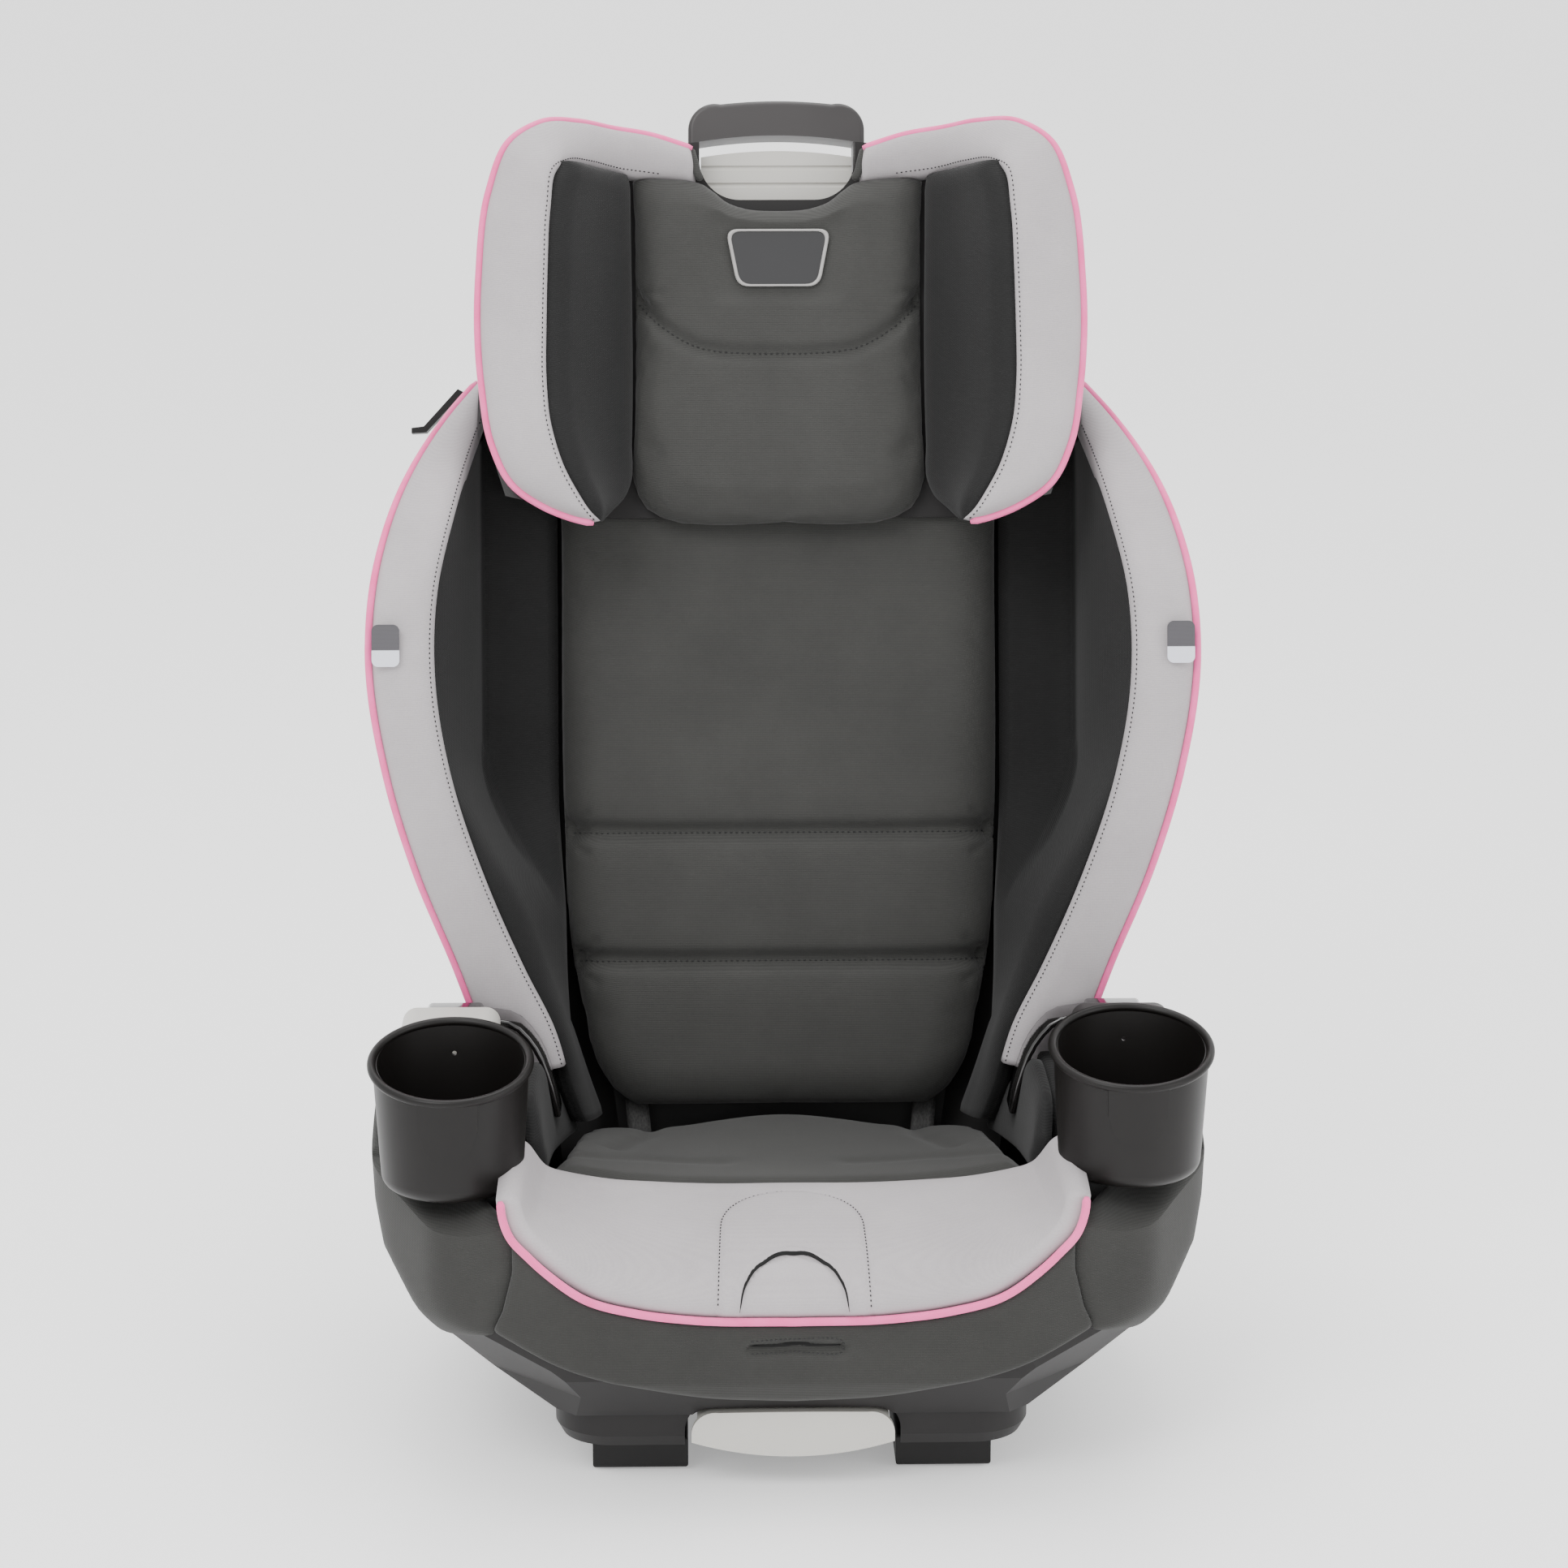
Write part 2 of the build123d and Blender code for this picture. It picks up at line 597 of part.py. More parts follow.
def headrest_wing(side):
    profile = [(97, -38)] + wing_profile
    wing = upright([(side * x, y) for x, y in profile], hr_bottom + 1, 601)
    return leaned(wing & headrest_front_outline(6.0))


def headrest_border(side):
    """Light front edge of one headrest wing, and the light panel that closes the wing's top."""
    profile = [(142.5, -123), (150, -hr_edge - 1), (188, -hr_edge - 1), (188, -128), (182, -hr_front),
               (150, -hr_front), (143, -131)]
    front = upright([(side * x, y) for x, y in profile], hr_bottom, hr_top)
    profile = [(53.5, -38)] + wing_profile + [(53.5, -56)]
    top = upright([(side * x, y) for x, y in profile], 602, hr_top)
    return leaned((front + top) & headrest_front_outline(2.6))


def headrest_piping():
    lines = []
    ring = headrest_front_outline(-1.6) - headrest_front_outline(2.2)
    for side in (1, -1):
        edge = ring & block(*sorted((side * 141, side * 200)), -126, -122, 386, 640)
        run = [(141, -118), (124, -81), (100, -57), (56, -53)]
        strip = run + [(x - 1, y - 3.6) for x, y in reversed(run)]
        top = upright([(side * x, y) for x, y in strip], hr_top + 0.2, hr_top + 3.4)
        lines += [leaned(edge), leaned(top)]
    return lines


def headrest_badge():
    face = make_face(Polyline((-33, 565), (33, 565), (26, 530), (-26, 530), close=True))
    face = fillet(face.vertices(), 7)
    return leaned(Pos(0, -hr_back - wall - 21.2, 0) * extrude(Plane.XZ * face, 0.6, both=True))


def headrest_carrier():
    """Plate that slides in the shell's channel, with a bridge forward to the headrest."""
    plate = block(-53, 53, 8, 28, 380, 606)
    plate -= block(-44, 44, 7, 22, 397, 600)
    plate -= block(-60, 60, 2, 20, 385, 397.5)
    bridge = block(-50, 50, -hr_back + 0.3, 8.6, 540, 578)
    bridge -= block(-44, 44, -hr_back - 1, 11, 546, 572)
    shelf = block(-45, 45, 9, 23, 530, 535)
    for x in (-rod_x, rod_x):
        shelf -= rod((x, lock_y, 528), (x, lock_y, 537), 2.4)
    return leaned(plate + bridge + shelf)


def headrest_handle():
    """Dark grab handle across the top of the carrier."""
    outer = [Polyline((-57, 606.2), (-57, 634)), ThreePointArc((-57, 634), (-50, 648), (-36, 651)),
             ThreePointArc((-36, 651), (0, 653), (36, 651)), ThreePointArc((36, 651), (50, 648), (57, 634)),
             Polyline((57, 634), (57, 606.2), (49.8, 606.2), (49.8, 626.5)),
             ThreePointArc((49.8, 626.5), (0, 630.5), (-49.8, 626.5)),
             Polyline((-49.8, 626.5), (-49.8, 606.2), (-57, 606.2))]
    handle = Pos(0, -3, 0) * extrude(Plane.XZ * make_face(outer), 17, both=True)
    top = handle.edges().filter_by(lambda e: e.center().Z > 634)
    return leaned(fillet(top, 3) + block(-57, 57, 8, 28, 606.2, 610))


def headrest_grip():
    """Light squeeze grip under the handle, with two shallow grooves across it."""
    face = make_face([ThreePointArc((-48.8, 617), (0, 621), (48.8, 617)),
                      Polyline((48.8, 617), (48.8, 584), (-48.8, 584), (-48.8, 617))])
    grip = Pos(0, -12.4, 0) * extrude(Plane.XZ * face, 3.4, both=True)
    for height in (599, 610):
        grip -= Pos(0, -16.2, height) * Rot(0, 90, 0) * Cylinder(1.6, 120)
    for side in (1, -1):
        grip += block(*sorted((side * 22, side * 32)), -9.5, 18, 586, 592)
    for x in (-12, 12):
        grip += block(x - 3, x + 3, 11, 17, 574, 586.5)
    return leaned(grip + block(-32, 32, 8.6, 18, 586, 592))


def pull_rods():
    """Rods from the grip down to the wedges that draw the lock bar out of its racks."""
    rods = []
    for x in (-rod_x, rod_x):
        line = rod((x, lock_y, 585.7), (x, lock_y, 402), 1.6)
        rods.append(leaned(line + block(x - 4, x + 4, 10, 19, 397.6 + 0.4, 402)))
    return rods


def lock_bar():
    half = 59.4
    return leaned(rod((-half, lock_y, lock_h), (half, lock_y, lock_h), lock_r))


def shoulder_guide(side):
    """Open hook behind the foot of one wing that holds the shoulder belt."""
    outline = [(151, 392), (176, 398), (183, 420), (183, 446), (178, 446), (178, 422), (172, 402), (151, 397)]
    line = [(side * x, z) for x, z in outline]
    return leaned(Pos(0, -24, 0) * slab(line, 12))


def headrest_straps():
    """Two short fabric bindings that hold the cover round the grip opening."""
    straps = []
    for side in (1, -1):
        straps.append(leaned(block(*sorted((side * 50, side * 52.8)), -50, -37.6, 600, 626)))
    return straps


# ---------------------------------------------------------------- recline handle and latch
def recline_handle():
    face = make_face([Polyline((-60, 36), (-60, 30)), ThreePointArc((-60, 30), (0, 22), (60, 30)),
                      Polyline((60, 30), (60, 36)), ThreePointArc((60, 36), (54.5, 46), (44, 49)),
                      ThreePointArc((44, 49), (0, 50), (-44, 49)),
                      ThreePointArc((-44, 49), (-54.5, 46), (-60, 36))])
    body = Pos(0, -221, 0) * extrude(Plane.XZ * face, 11, both=True)
    body &= rod((0, 380, 0), (0, 380, 80), 608)
    body -= rod((0, 380, 0), (0, 380, latch_z + 6), 603.5)
    for side in (1, -1):
        body += block(side * 48 - 4, side * 48 + 4, -222, -206, latch_z - 6, latch_z + 7)
    return body


def recline_latch():
    """Pull arms from the handle back to a cross rod that drops into the racks."""
    half = cheek_x - 0.8
    bar = rod((-half, latch_y, latch_z), (half, latch_y, latch_z), latch_r)
    for side in (1, -1):
        bar += block(side * 48 - 3, side * 48 + 3, -205.8, latch_y, latch_z - 4, latch_z + 4)
    return bar


def coil(start, end, radius, wire, turns):
    a, b = Vector(*start), Vector(*end)
    length = (b - a).length
    path = Helix(length / turns, length, radius)
    spring = sweep(Plane(origin=path @ 0, z_dir=path % 0) * Circle(wire), path=path)
    return Plane(origin=a, z_dir=(b - a).normalized()).location * spring


def recline_springs():
    """Springs that draw the latch rod back into its racks."""
    ends = latch_y + latch_r + 1.2, spring_web_y - 1.2
    lines = [((side * 48, ends[0], latch_z), (side * 48, ends[1], latch_z)) for side in (1, -1)]
    return [coil(start, end, 4.5, 0.8, 6) for start, end in lines]


def grip_springs():
    """Springs that draw the grip back down."""
    return [leaned(coil((x, lock_y, 537), (x, lock_y, 572.6), 4.5, 0.8, 6)) for x in (-12, 12)]


# ---------------------------------------------------------------- write every node
save("base_frame", base_frame())
save("base_foot_pads", *foot_pads())
save("recline_racks", *recline_racks())
save("rack_screws", *rack_screws())
save("recline_pivot_tube", pivot_tube())
save("recline_pivot_clips", *pivot_clips())
save("seat_shell", seat_shell())
save("back_shell", back_shell())
save("back_liner", *back_liner())
save("height_racks", *height_racks())
save("shell_screws", *shell_screws())
save("back_pad", back_pad())
save("back_piping", *back_piping())
save("side_labels", *side_labels())
save("hip_straps", *hip_straps())
save("belt_keeper", tether_keeper())
save("seat_pad", seat_pad())
save("seat_front_panel", seat_front_panel())
save("seat_apron", seat_apron())
save("seat_piping", seat_piping())
for word, side in (("left", -1), ("right", 1)):
    save(f"bolster_{word}", bolster(side))
    save(f"back_border_{word}", border(side))
    save(f"armrest_core_{word}", armrest_core(side))
    save(f"armrest_cover_{word}", armrest_cover(side))
    save(f"seat_side_{word}", seat_side(side))
    save(f"armrest_cap_{word}", armrest_cap(side))
    save(f"belt_guide_{word}", belt_guide(side))
    save(f"cup_holder_{word}", cup_holder(side, cup_left_z if side < 0 else cup_right_z))
    save(f"headrest_wing_{word}", headrest_wing(side))
    save(f"headrest_border_{word}", headrest_border(side))
    save(f"shoulder_belt_guide_{word}", shoulder_guide(side))
save("headrest_shell", headrest_shell())
save("headrest_pad", headrest_pad())
save("headrest_piping", *headrest_piping())
save("headrest_badge", headrest_badge())
save("headrest_carrier", headrest_carrier())
save("headrest_handle", headrest_handle())
save("headrest_grip", headrest_grip())
save("headrest_pull_rods", *pull_rods())
save("headrest_lock_bar", lock_bar())
save("headrest_straps", *headrest_straps())
save("recline_handle", recline_handle())
save("recline_latch", recline_latch())
save("recline_springs", *recline_springs())
save("headrest_grip_springs", *grip_springs())
whole = Compound(children=list(written.values())).bounding_box()
print(len(written), "nodes", whole.min, whole.max)
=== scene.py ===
import bpy
import bmesh
import math
import numpy as np
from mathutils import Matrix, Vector
from mathutils.bvhtree import BVHTree


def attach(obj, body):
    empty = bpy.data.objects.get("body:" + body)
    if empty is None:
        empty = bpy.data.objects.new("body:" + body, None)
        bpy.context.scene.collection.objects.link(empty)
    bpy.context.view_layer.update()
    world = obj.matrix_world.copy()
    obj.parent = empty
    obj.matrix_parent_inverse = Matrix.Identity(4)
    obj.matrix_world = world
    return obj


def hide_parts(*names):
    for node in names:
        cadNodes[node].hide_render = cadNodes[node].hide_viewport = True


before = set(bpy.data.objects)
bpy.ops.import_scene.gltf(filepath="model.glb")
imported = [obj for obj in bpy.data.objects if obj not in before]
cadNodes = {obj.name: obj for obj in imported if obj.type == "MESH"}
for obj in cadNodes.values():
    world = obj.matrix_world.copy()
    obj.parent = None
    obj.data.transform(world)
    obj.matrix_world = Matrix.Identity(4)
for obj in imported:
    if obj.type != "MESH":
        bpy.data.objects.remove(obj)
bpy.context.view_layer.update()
bpy.ops.object.select_all(action="DESELECT")
print("frame loaded")

lean = math.radians(13)  # the backrest's tilt
backFootY, backFootZ = 0.0873, 0.136  # where the backrest meets the seat


# ---- places and curves

def onBack(points):  # across, up the back and forward of it, in mm
    p = np.asarray(points, float) / 1000
    x, up, out = p[..., 0], p[..., 1], p[..., 2]
    y = backFootY + math.sin(lean) * up - math.cos(lean) * out
    z = backFootZ + math.cos(lean) * up + math.sin(lean) * out
    return np.stack([x, y, z], -1)


def offBack(points):  # the other way round
    p = np.asarray(points, float)
    y, z = p[..., 1] - backFootY, p[..., 2] - backFootZ
    up = math.sin(lean) * y + math.cos(lean) * z
    out = math.sin(lean) * z - math.cos(lean) * y
    return np.stack([p[..., 0], up, out], -1) * 1000


def inRow(points):  # plain millimetres
    return np.asarray(points, float) / 1000


def offRow(points):
    return np.asarray(points, float) * 1000


def follow(table, value):  # smooth reading of a short table
    t = np.asarray(table, float)
    x, y = t[:, 0], t[:, 1:]
    value = np.clip(np.asarray(value, float), x[0], x[-1])
    slope = np.gradient(y, x, axis=0)
    i = np.clip(np.searchsorted(x, value, side="right") - 1, 0, len(x) - 2)
    w = (x[i + 1] - x[i])[..., None]
    s = (value - x[i])[..., None] / w
    a, b = y[i], y[i + 1]
    h = (2 * s**3 - 3 * s**2 + 1) * a + (s**3 - 2 * s**2 + s) * w * slope[i]
    h = h + (3 * s**2 - 2 * s**3) * b + (s**3 - s**2) * w * slope[i + 1]
    return h[..., 0] if h.shape[-1] == 1 else h


def through(points, count):  # evenly spaced points on a smooth line
    p = np.asarray(points, float)
    step = np.linalg.norm(np.diff(p, axis=0), axis=1) ** 0.5
    run = np.concatenate([[0], np.cumsum(step)])
    dense = follow(np.column_stack([run, p]), np.linspace(0, run[-1], 400))
    length = np.concatenate([[0], np.cumsum(np.linalg.norm(np.diff(dense, axis=0), axis=1))])
    at = np.linspace(0, length[-1], count)
    return np.column_stack([np.interp(at, length, dense[:, k]) for k in range(p.shape[1])])


def crown(distance, reach):  # rounded shoulder of a stuffed edge
    t = np.clip(distance / reach, 0, 1)
    return np.sqrt(np.clip(1 - (1 - t) ** 2, 0, 1))


def spread(count):  # closer together at both ends
    s = np.linspace(0, 1, count)
    return s - 0.13 * np.sin(2 * math.pi * s)


def away(flat, line):  # distance from a flat line
    best = np.full(flat.shape[:-1], 1e9)
    for a, b in zip(line, line[1:]):
        a, b = np.asarray(a, float), np.asarray(b, float)
        d = b - a
        t = np.clip(((flat - a) @ d) / max(d @ d, 1e-9), 0, 1)
        best = np.minimum(best, np.linalg.norm(flat - a - t[..., None] * d, axis=-1))
    return best


def flip(points):  # to the other side
    p = np.array(points, float)
    p[..., 0] *= -1
    return p


# ---- meshes

def makeObject(name, verts, faces):
    mesh = bpy.data.meshes.new(name)
    mesh.from_pydata([tuple(v) for v in verts], [], faces)
    piece = bpy.data.objects.new(name, mesh)
    bpy.context.scene.collection.objects.link(piece)
    bm = bmesh.new()
    bm.from_mesh(mesh)
    bmesh.ops.remove_doubles(bm, verts=bm.verts, dist=0.00003)
    bmesh.ops.dissolve_degenerate(bm, edges=bm.edges, dist=0.00001)
    bmesh.ops.recalc_face_normals(bm, faces=bm.faces)
    if bm.calc_volume(signed=True) < 0:
        bmesh.ops.reverse_faces(bm, faces=bm.faces)
    bm.to_mesh(mesh)
    bm.free()
    mesh.shade_smooth()
    return piece


def closedForm(name, front, back):  # a stuffed form between two grids of points
    n, m = front.shape[:2]
    verts = np.concatenate([front.reshape(-1, 3), back.reshape(-1, 3)])
    at = lambda i, j, k: k * n * m + i * m + j
    faces = []
    for i in range(n - 1):
        for j in range(m - 1):
            faces.append((at(i, j, 0), at(i + 1, j, 0), at(i + 1, j + 1, 0), at(i, j + 1, 0)))
            faces.append((at(i, j, 1), at(i, j + 1, 1), at(i + 1, j + 1, 1), at(i + 1, j, 1)))
    ring = [(i, 0) for i in range(n)] + [(n - 1, j) for j in range(1, m)]
    ring += [(i, m - 1) for i in range(n - 2, -1, -1)] + [(0, j) for j in range(m - 2, 0, -1)]
    for a, b in zip(ring, ring[1:] + ring[:1]):
        faces.append((at(*a, 0), at(*a, 1), at(*b, 1), at(*b, 0)))
    return makeObject(name, verts, faces)


def surfaceNormals(grid, towards):
    du = np.gradient(grid, axis=0)
    dv = np.gradient(grid, axis=1)
    n = np.cross(du, dv)
    n /= np.linalg.norm(n, axis=-1, keepdims=True) + 1e-12
    wrong = np.sum(n * np.asarray(towards, float), axis=-1) < 0
    n[wrong] *= -1
    return n


def stuffed(name, a, b, rows, place, towards, rise, reach, depth, ends=(1, 1), sides=(1, 1)):
    s = spread(rows)[:, None, None]
    grid = a[None] * (1 - s) + b[None] * s
    span = np.linalg.norm(b - a, axis=-1)[None]
    across = s[..., 0] * span
    run = np.concatenate([[0], np.cumsum(np.linalg.norm(np.diff((a + b) / 2, axis=0), axis=1))])
    lift = np.ones(grid.shape[:2])
    if sides[0]:
        lift = lift * crown(across, np.minimum(reach, span * 0.5))
    if sides[1]:
        lift = lift * crown(span - across, np.minimum(reach, span * 0.5))
    if ends[0]:
        lift = lift * crown(run, reach)[None]
    if ends[1]:
        lift = lift * crown(run[-1] - run, reach)[None]
    n = surfaceNormals(grid, towards)
    front = grid + n * (rise * lift)[..., None]
    back = grid - n * depth
    return closedForm(name, place(front), place(back))


def tube(name, path, radius, sides=10):
    p = np.asarray(path, float)
    t = np.gradient(p, axis=0)
    t /= np.linalg.norm(t, axis=1, keepdims=True)
    n = np.cross(t[0], (0.3, 0.5, 0.8))
    verts = []
    for i in range(len(p)):
        n = n - t[i] * (n @ t[i])
        n /= np.linalg.norm(n)
        b = np.cross(t[i], n)
        r = radius * (0.55 if i in (0, len(p) - 1) else 1)
        for k in range(sides):
            angle = 2 * math.pi * k / sides
            verts.append(p[i] + r * (math.cos(angle) * n + math.sin(angle) * b))
    faces = [(i * sides + k, i * sides + (k + 1) % sides, (i + 1) * sides + (k + 1) % sides,
              (i + 1) * sides + k)
             for i in range(len(p) - 1) for k in range(sides)]
    faces.append(tuple(range(sides)))
    faces.append(tuple((len(p) - 1) * sides + k for k in range(sides)))
    return makeObject(name, verts, faces)


def meshPoints(piece):
    co = np.empty(len(piece.data.vertices) * 3)
    piece.data.vertices.foreach_get("co", co)
    return co.reshape(-1, 3)


def meshNormals(piece):
    n = np.empty(len(piece.data.vertices) * 3)
    piece.data.vertices.foreach_get("normal", n)
    return n.reshape(-1, 3)


def movePoints(piece, co):
    piece.data.vertices.foreach_set("co", co.ravel())
    piece.data.update()


def sew(piece, line, depth, width, flatten, towards=None, limit=0.2):  # presses a seam into the cover
    co, n = meshPoints(piece), meshNormals(piece)
    dent = depth / 1000 * np.exp(-(away(flatten(co), line) / width) ** 2)
    if towards is not None:
        dent = dent * (n @ np.asarray(towards) > limit)
    movePoints(piece, co - n * dent[:, None])


def softCopy(name, node, voxel, rounds):  # a rounded cover over a plain block
    source = cadNodes[node]
    piece = bpy.data.objects.new(name, source.data.copy())
    piece.data.materials.clear()
    bpy.context.scene.collection.objects.link(piece)
    bpy.context.view_layer.objects.active = piece
    piece.select_set(True)
    bpy.ops.object.mode_set(mode="EDIT")
    bpy.ops.mesh.select_all(action="SELECT")
    bpy.ops.mesh.remove_doubles(threshold=0.00001)
    bpy.ops.object.mode_set(mode="OBJECT")
    remesh = piece.modifiers.new("remesh", "REMESH")
    remesh.mode = "VOXEL"
    remesh.voxel_size = voxel
    bpy.ops.object.modifier_apply(modifier="remesh")
    smooth = piece.modifiers.new("smooth", "SMOOTH")
    smooth.iterations = rounds
    smooth.factor = 0.5
    bpy.ops.object.modifier_apply(modifier="smooth")
    piece.data.shade_smooth()
    piece.select_set(False)
    return piece


def puff(piece, voxel, pressure, cap, frames=16):  # lets the filling swell the cover
    scene = bpy.context.scene
    bpy.context.view_layer.objects.active = piece
    piece.select_set(True)
    remesh = piece.modifiers.new("remesh", "REMESH")
    remesh.mode = "VOXEL"
    remesh.voxel_size = voxel
    bpy.ops.object.modifier_apply(modifier="remesh")
    before = meshPoints(piece)
    cloth = piece.modifiers.new("cloth", "CLOTH")
    cloth.settings.use_pressure = True
    cloth.settings.uniform_pressure_force = pressure
    cloth.settings.quality = 4
    cloth.settings.tension_stiffness = 22
    cloth.settings.compression_stiffness = 12
    cloth.settings.effector_weights.gravity = 0
    scene.frame_start = 1
    for f in range(1, frames + 1):
        scene.frame_set(f)
    bpy.ops.object.modifier_apply(modifier="cloth")
    scene.frame_set(1)
    after = meshPoints(piece)
    move = after - before
    far = np.linalg.norm(move, axis=1, keepdims=True) + 1e-9
    move *= np.minimum(1, cap / far)
    movePoints(piece, before + move)
    divide = piece.modifiers.new("divide", "SUBSURF")
    divide.levels = divide.render_levels = 1
    bpy.ops.object.modifier_apply(modifier="divide")
    piece.data.shade_smooth()
    piece.select_set(False)
    return piece


def stitches(name, piece, line, place, ray, pitch=3.6, thread=0.42, lift=0.15):  # thread along a seam
    depsgraph = bpy.context.evaluated_depsgraph_get()
    tree = BVHTree.FromObject(piece, depsgraph)
    p = np.asarray(line, float)
    total = np.sum(np.linalg.norm(np.diff(p, axis=0), axis=1))
    p = through(p, max(4, int(total / pitch) * 2 + 1))
    hits = []
    for q in place(p):
        hit, normal, _, _ = tree.ray_cast(Vector(q) + Vector(ray) * -0.25, Vector(ray), 0.6)
        hits.append((hit, normal))
    verts, faces = [], []
    for i in range(0, len(hits) - 1, 2):
        (a, na), (b, nb) = hits[i], hits[i + 1]
        if a is None or b is None or (b - a).length > pitch * 0.002:
            continue
        n = (na + nb).normalized()
        a, b = a + n * (lift / 1000), b + n * (lift / 1000)
        d = b - a
        side = d.cross(n).normalized() * (thread / 1000)
        start = len(verts)
        verts.append(a)
        for s in (0.25, 0.75):
            c = a + d * s + n * 0.0001
            for k in range(6):
                w = 2 * math.pi * k / 6
                verts.append(c + side * math.cos(w) + n * (math.sin(w) * thread / 1000))
        verts.append(b)
        for k in range(6):
            j = (k + 1) % 6
            faces.append((start, start + 1 + j, start + 1 + k))
            faces.append((start + 1 + k, start + 1 + j, start + 7 + j, start + 7 + k))
            faces.append((start + 13, start + 7 + k, start + 7 + j))
    return makeObject(name, verts, faces)


# ---- materials

def newMaterial(name):
    material = bpy.data.materials.new(name)
    material.use_nodes = True
    tree = material.node_tree
    return material, tree, tree.nodes["Principled BSDF"]


def mathNode(tree, operation, *values):
    node = tree.nodes.new("ShaderNodeMath")
    node.operation = operation
    for socket, value in zip(node.inputs, values):
        if isinstance(value, (int, float)):
            socket.default_value = value
        else:
            tree.links.new(value, socket)
    return node.outputs[0]


def placeOn(tree, **change):  # object coordinates, turned or stretched
    place = tree.nodes.new("ShaderNodeTexCoord").outputs["Object"]
    if not change:
        return place
    mapping = tree.nodes.new("ShaderNodeMapping")
    for key, value in change.items():
        mapping.inputs[key].default_value = value
    tree.links.new(place, mapping.inputs[0])
    return mapping.outputs[0]


def along(tree, place, axis):
    split = tree.nodes.new("ShaderNodeSeparateXYZ")
    tree.links.new(place, split.inputs[0])
    return split.outputs[axis]


def waves(tree, value, pitch):  # a sine with this pitch in metres
    return mathNode(tree, "SINE", mathNode(tree, "MULTIPLY", value, 2 * math.pi / pitch))


def texture(tree, kind, place, **inputs):
    node = tree.nodes.new("ShaderNodeTex" + kind)
    for key, value in inputs.items():
        node.inputs[key].default_value = value
    tree.links.new(place, node.inputs["Vector"])
    return node.outputs[0]


def linearColour(colour):  # sRGB 0 to 255
    return tuple((c / 255 / 12.92 if c / 255 < 0.04045 else ((c / 255 + 0.055) / 1.055) ** 2.4)
                 for c in colour)


def paint(tree, shader, factor, dark, light):
    ramp = tree.nodes.new("ShaderNodeValToRGB")
    ramp.color_ramp.elements[0].color = (*linearColour(dark), 1)
    ramp.color_ramp.elements[1].color = (*linearColour(light), 1)
    tree.links.new(factor, ramp.inputs[0])
    tree.links.new(ramp.outputs[0], shader.inputs["Base Color"])


def emboss(tree, shader, height, strength, distance):
    relief = tree.nodes.new("ShaderNodeBump")
    relief.inputs["Strength"].default_value = strength
    relief.inputs["Distance"].default_value = distance
    tree.links.new(height, relief.inputs["Height"])
    tree.links.new(relief.outputs[0], shader.inputs["Normal"])


def knitCloth(name, dark, light, sheen, tilt=0.0, rib=1.05, bump=0.5, contrast=0.24):
    material, tree, shader = newMaterial(name)
    place = placeOn(tree)
    turned = placeOn(tree, Rotation=(tilt, 0, 0))
    wobble = texture(tree, "Noise", place, Scale=180.0, Detail=2.0)
    mottle = texture(tree, "Noise", place, Scale=14.0, Detail=5.0, Roughness=0.65)
    fuzz = texture(tree, "Noise", place, Scale=900.0, Detail=2.0)
    up = mathNode(tree, "MULTIPLY", along(tree, turned, 2), 2 * math.pi / (rib / 1000))
    up = mathNode(tree, "ADD", up, mathNode(tree, "MULTIPLY", wobble, 1.6))
    ribs = mathNode(tree, "MULTIPLY_ADD", mathNode(tree, "SINE", up), 0.5, 0.5)
    loops = mathNode(tree, "MULTIPLY_ADD", waves(tree, along(tree, turned, 0), 0.0008), 0.5, 0.5)
    thread = mathNode(tree, "MULTIPLY_ADD", loops, 0.35, ribs)
    tone = mathNode(tree, "MULTIPLY", thread, contrast)
    tone = mathNode(tree, "ADD", tone, mathNode(tree, "MULTIPLY", mottle, 0.55))
    tone = mathNode(tree, "ADD", tone, mathNode(tree, "MULTIPLY", fuzz, 0.25))
    paint(tree, shader, tone, dark, light)
    height = mathNode(tree, "ADD", thread, mathNode(tree, "MULTIPLY", fuzz, 0.5))
    emboss(tree, shader, height, bump, 0.0002)
    shader.inputs["Roughness"].default_value = 0.86
    shader.inputs["Sheen Weight"].default_value = sheen
    shader.inputs["Sheen Roughness"].default_value = 0.45
    shader.inputs["Specular IOR Level"].default_value = 0.25
    return material


def mouldedPlastic(name, colour, roughness, grain=0.25, coat=0.0, wear=12, shine=0.5):
    material, tree, shader = newMaterial(name)
    place = placeOn(tree)
    cloud = texture(tree, "Noise", place, Scale=9.0, Detail=4.0)
    lighter = tuple(min(255, c + wear) for c in colour)
    darker = tuple(max(0, c - wear * 0.6) for c in colour)
    paint(tree, shader, cloud, darker, lighter)
    rough = mathNode(tree, "MULTIPLY_ADD", cloud, 0.12, roughness - 0.06)
    tree.links.new(rough, shader.inputs["Roughness"])
    emboss(tree, shader, texture(tree, "Noise", place, Scale=1400.0, Detail=2.0), grain, 0.00012)
    shader.inputs["Specular IOR Level"].default_value = shine
    shader.inputs["Coat Weight"].default_value = coat
    shader.inputs["Coat Roughness"].default_value = 0.08
    return material


def barSteel(name):
    material, tree, shader = newMaterial(name)
    streak = texture(tree, "Noise", placeOn(tree, Scale=(1, 9, 9)), Scale=60.0, Detail=4.0)
    paint(tree, shader, streak, (140, 141, 145), (196, 197, 200))
    rough = mathNode(tree, "MULTIPLY_ADD", streak, 0.25, 0.22)
    tree.links.new(rough, shader.inputs["Roughness"])
    shader.inputs["Metallic"].default_value = 1.0
    return material


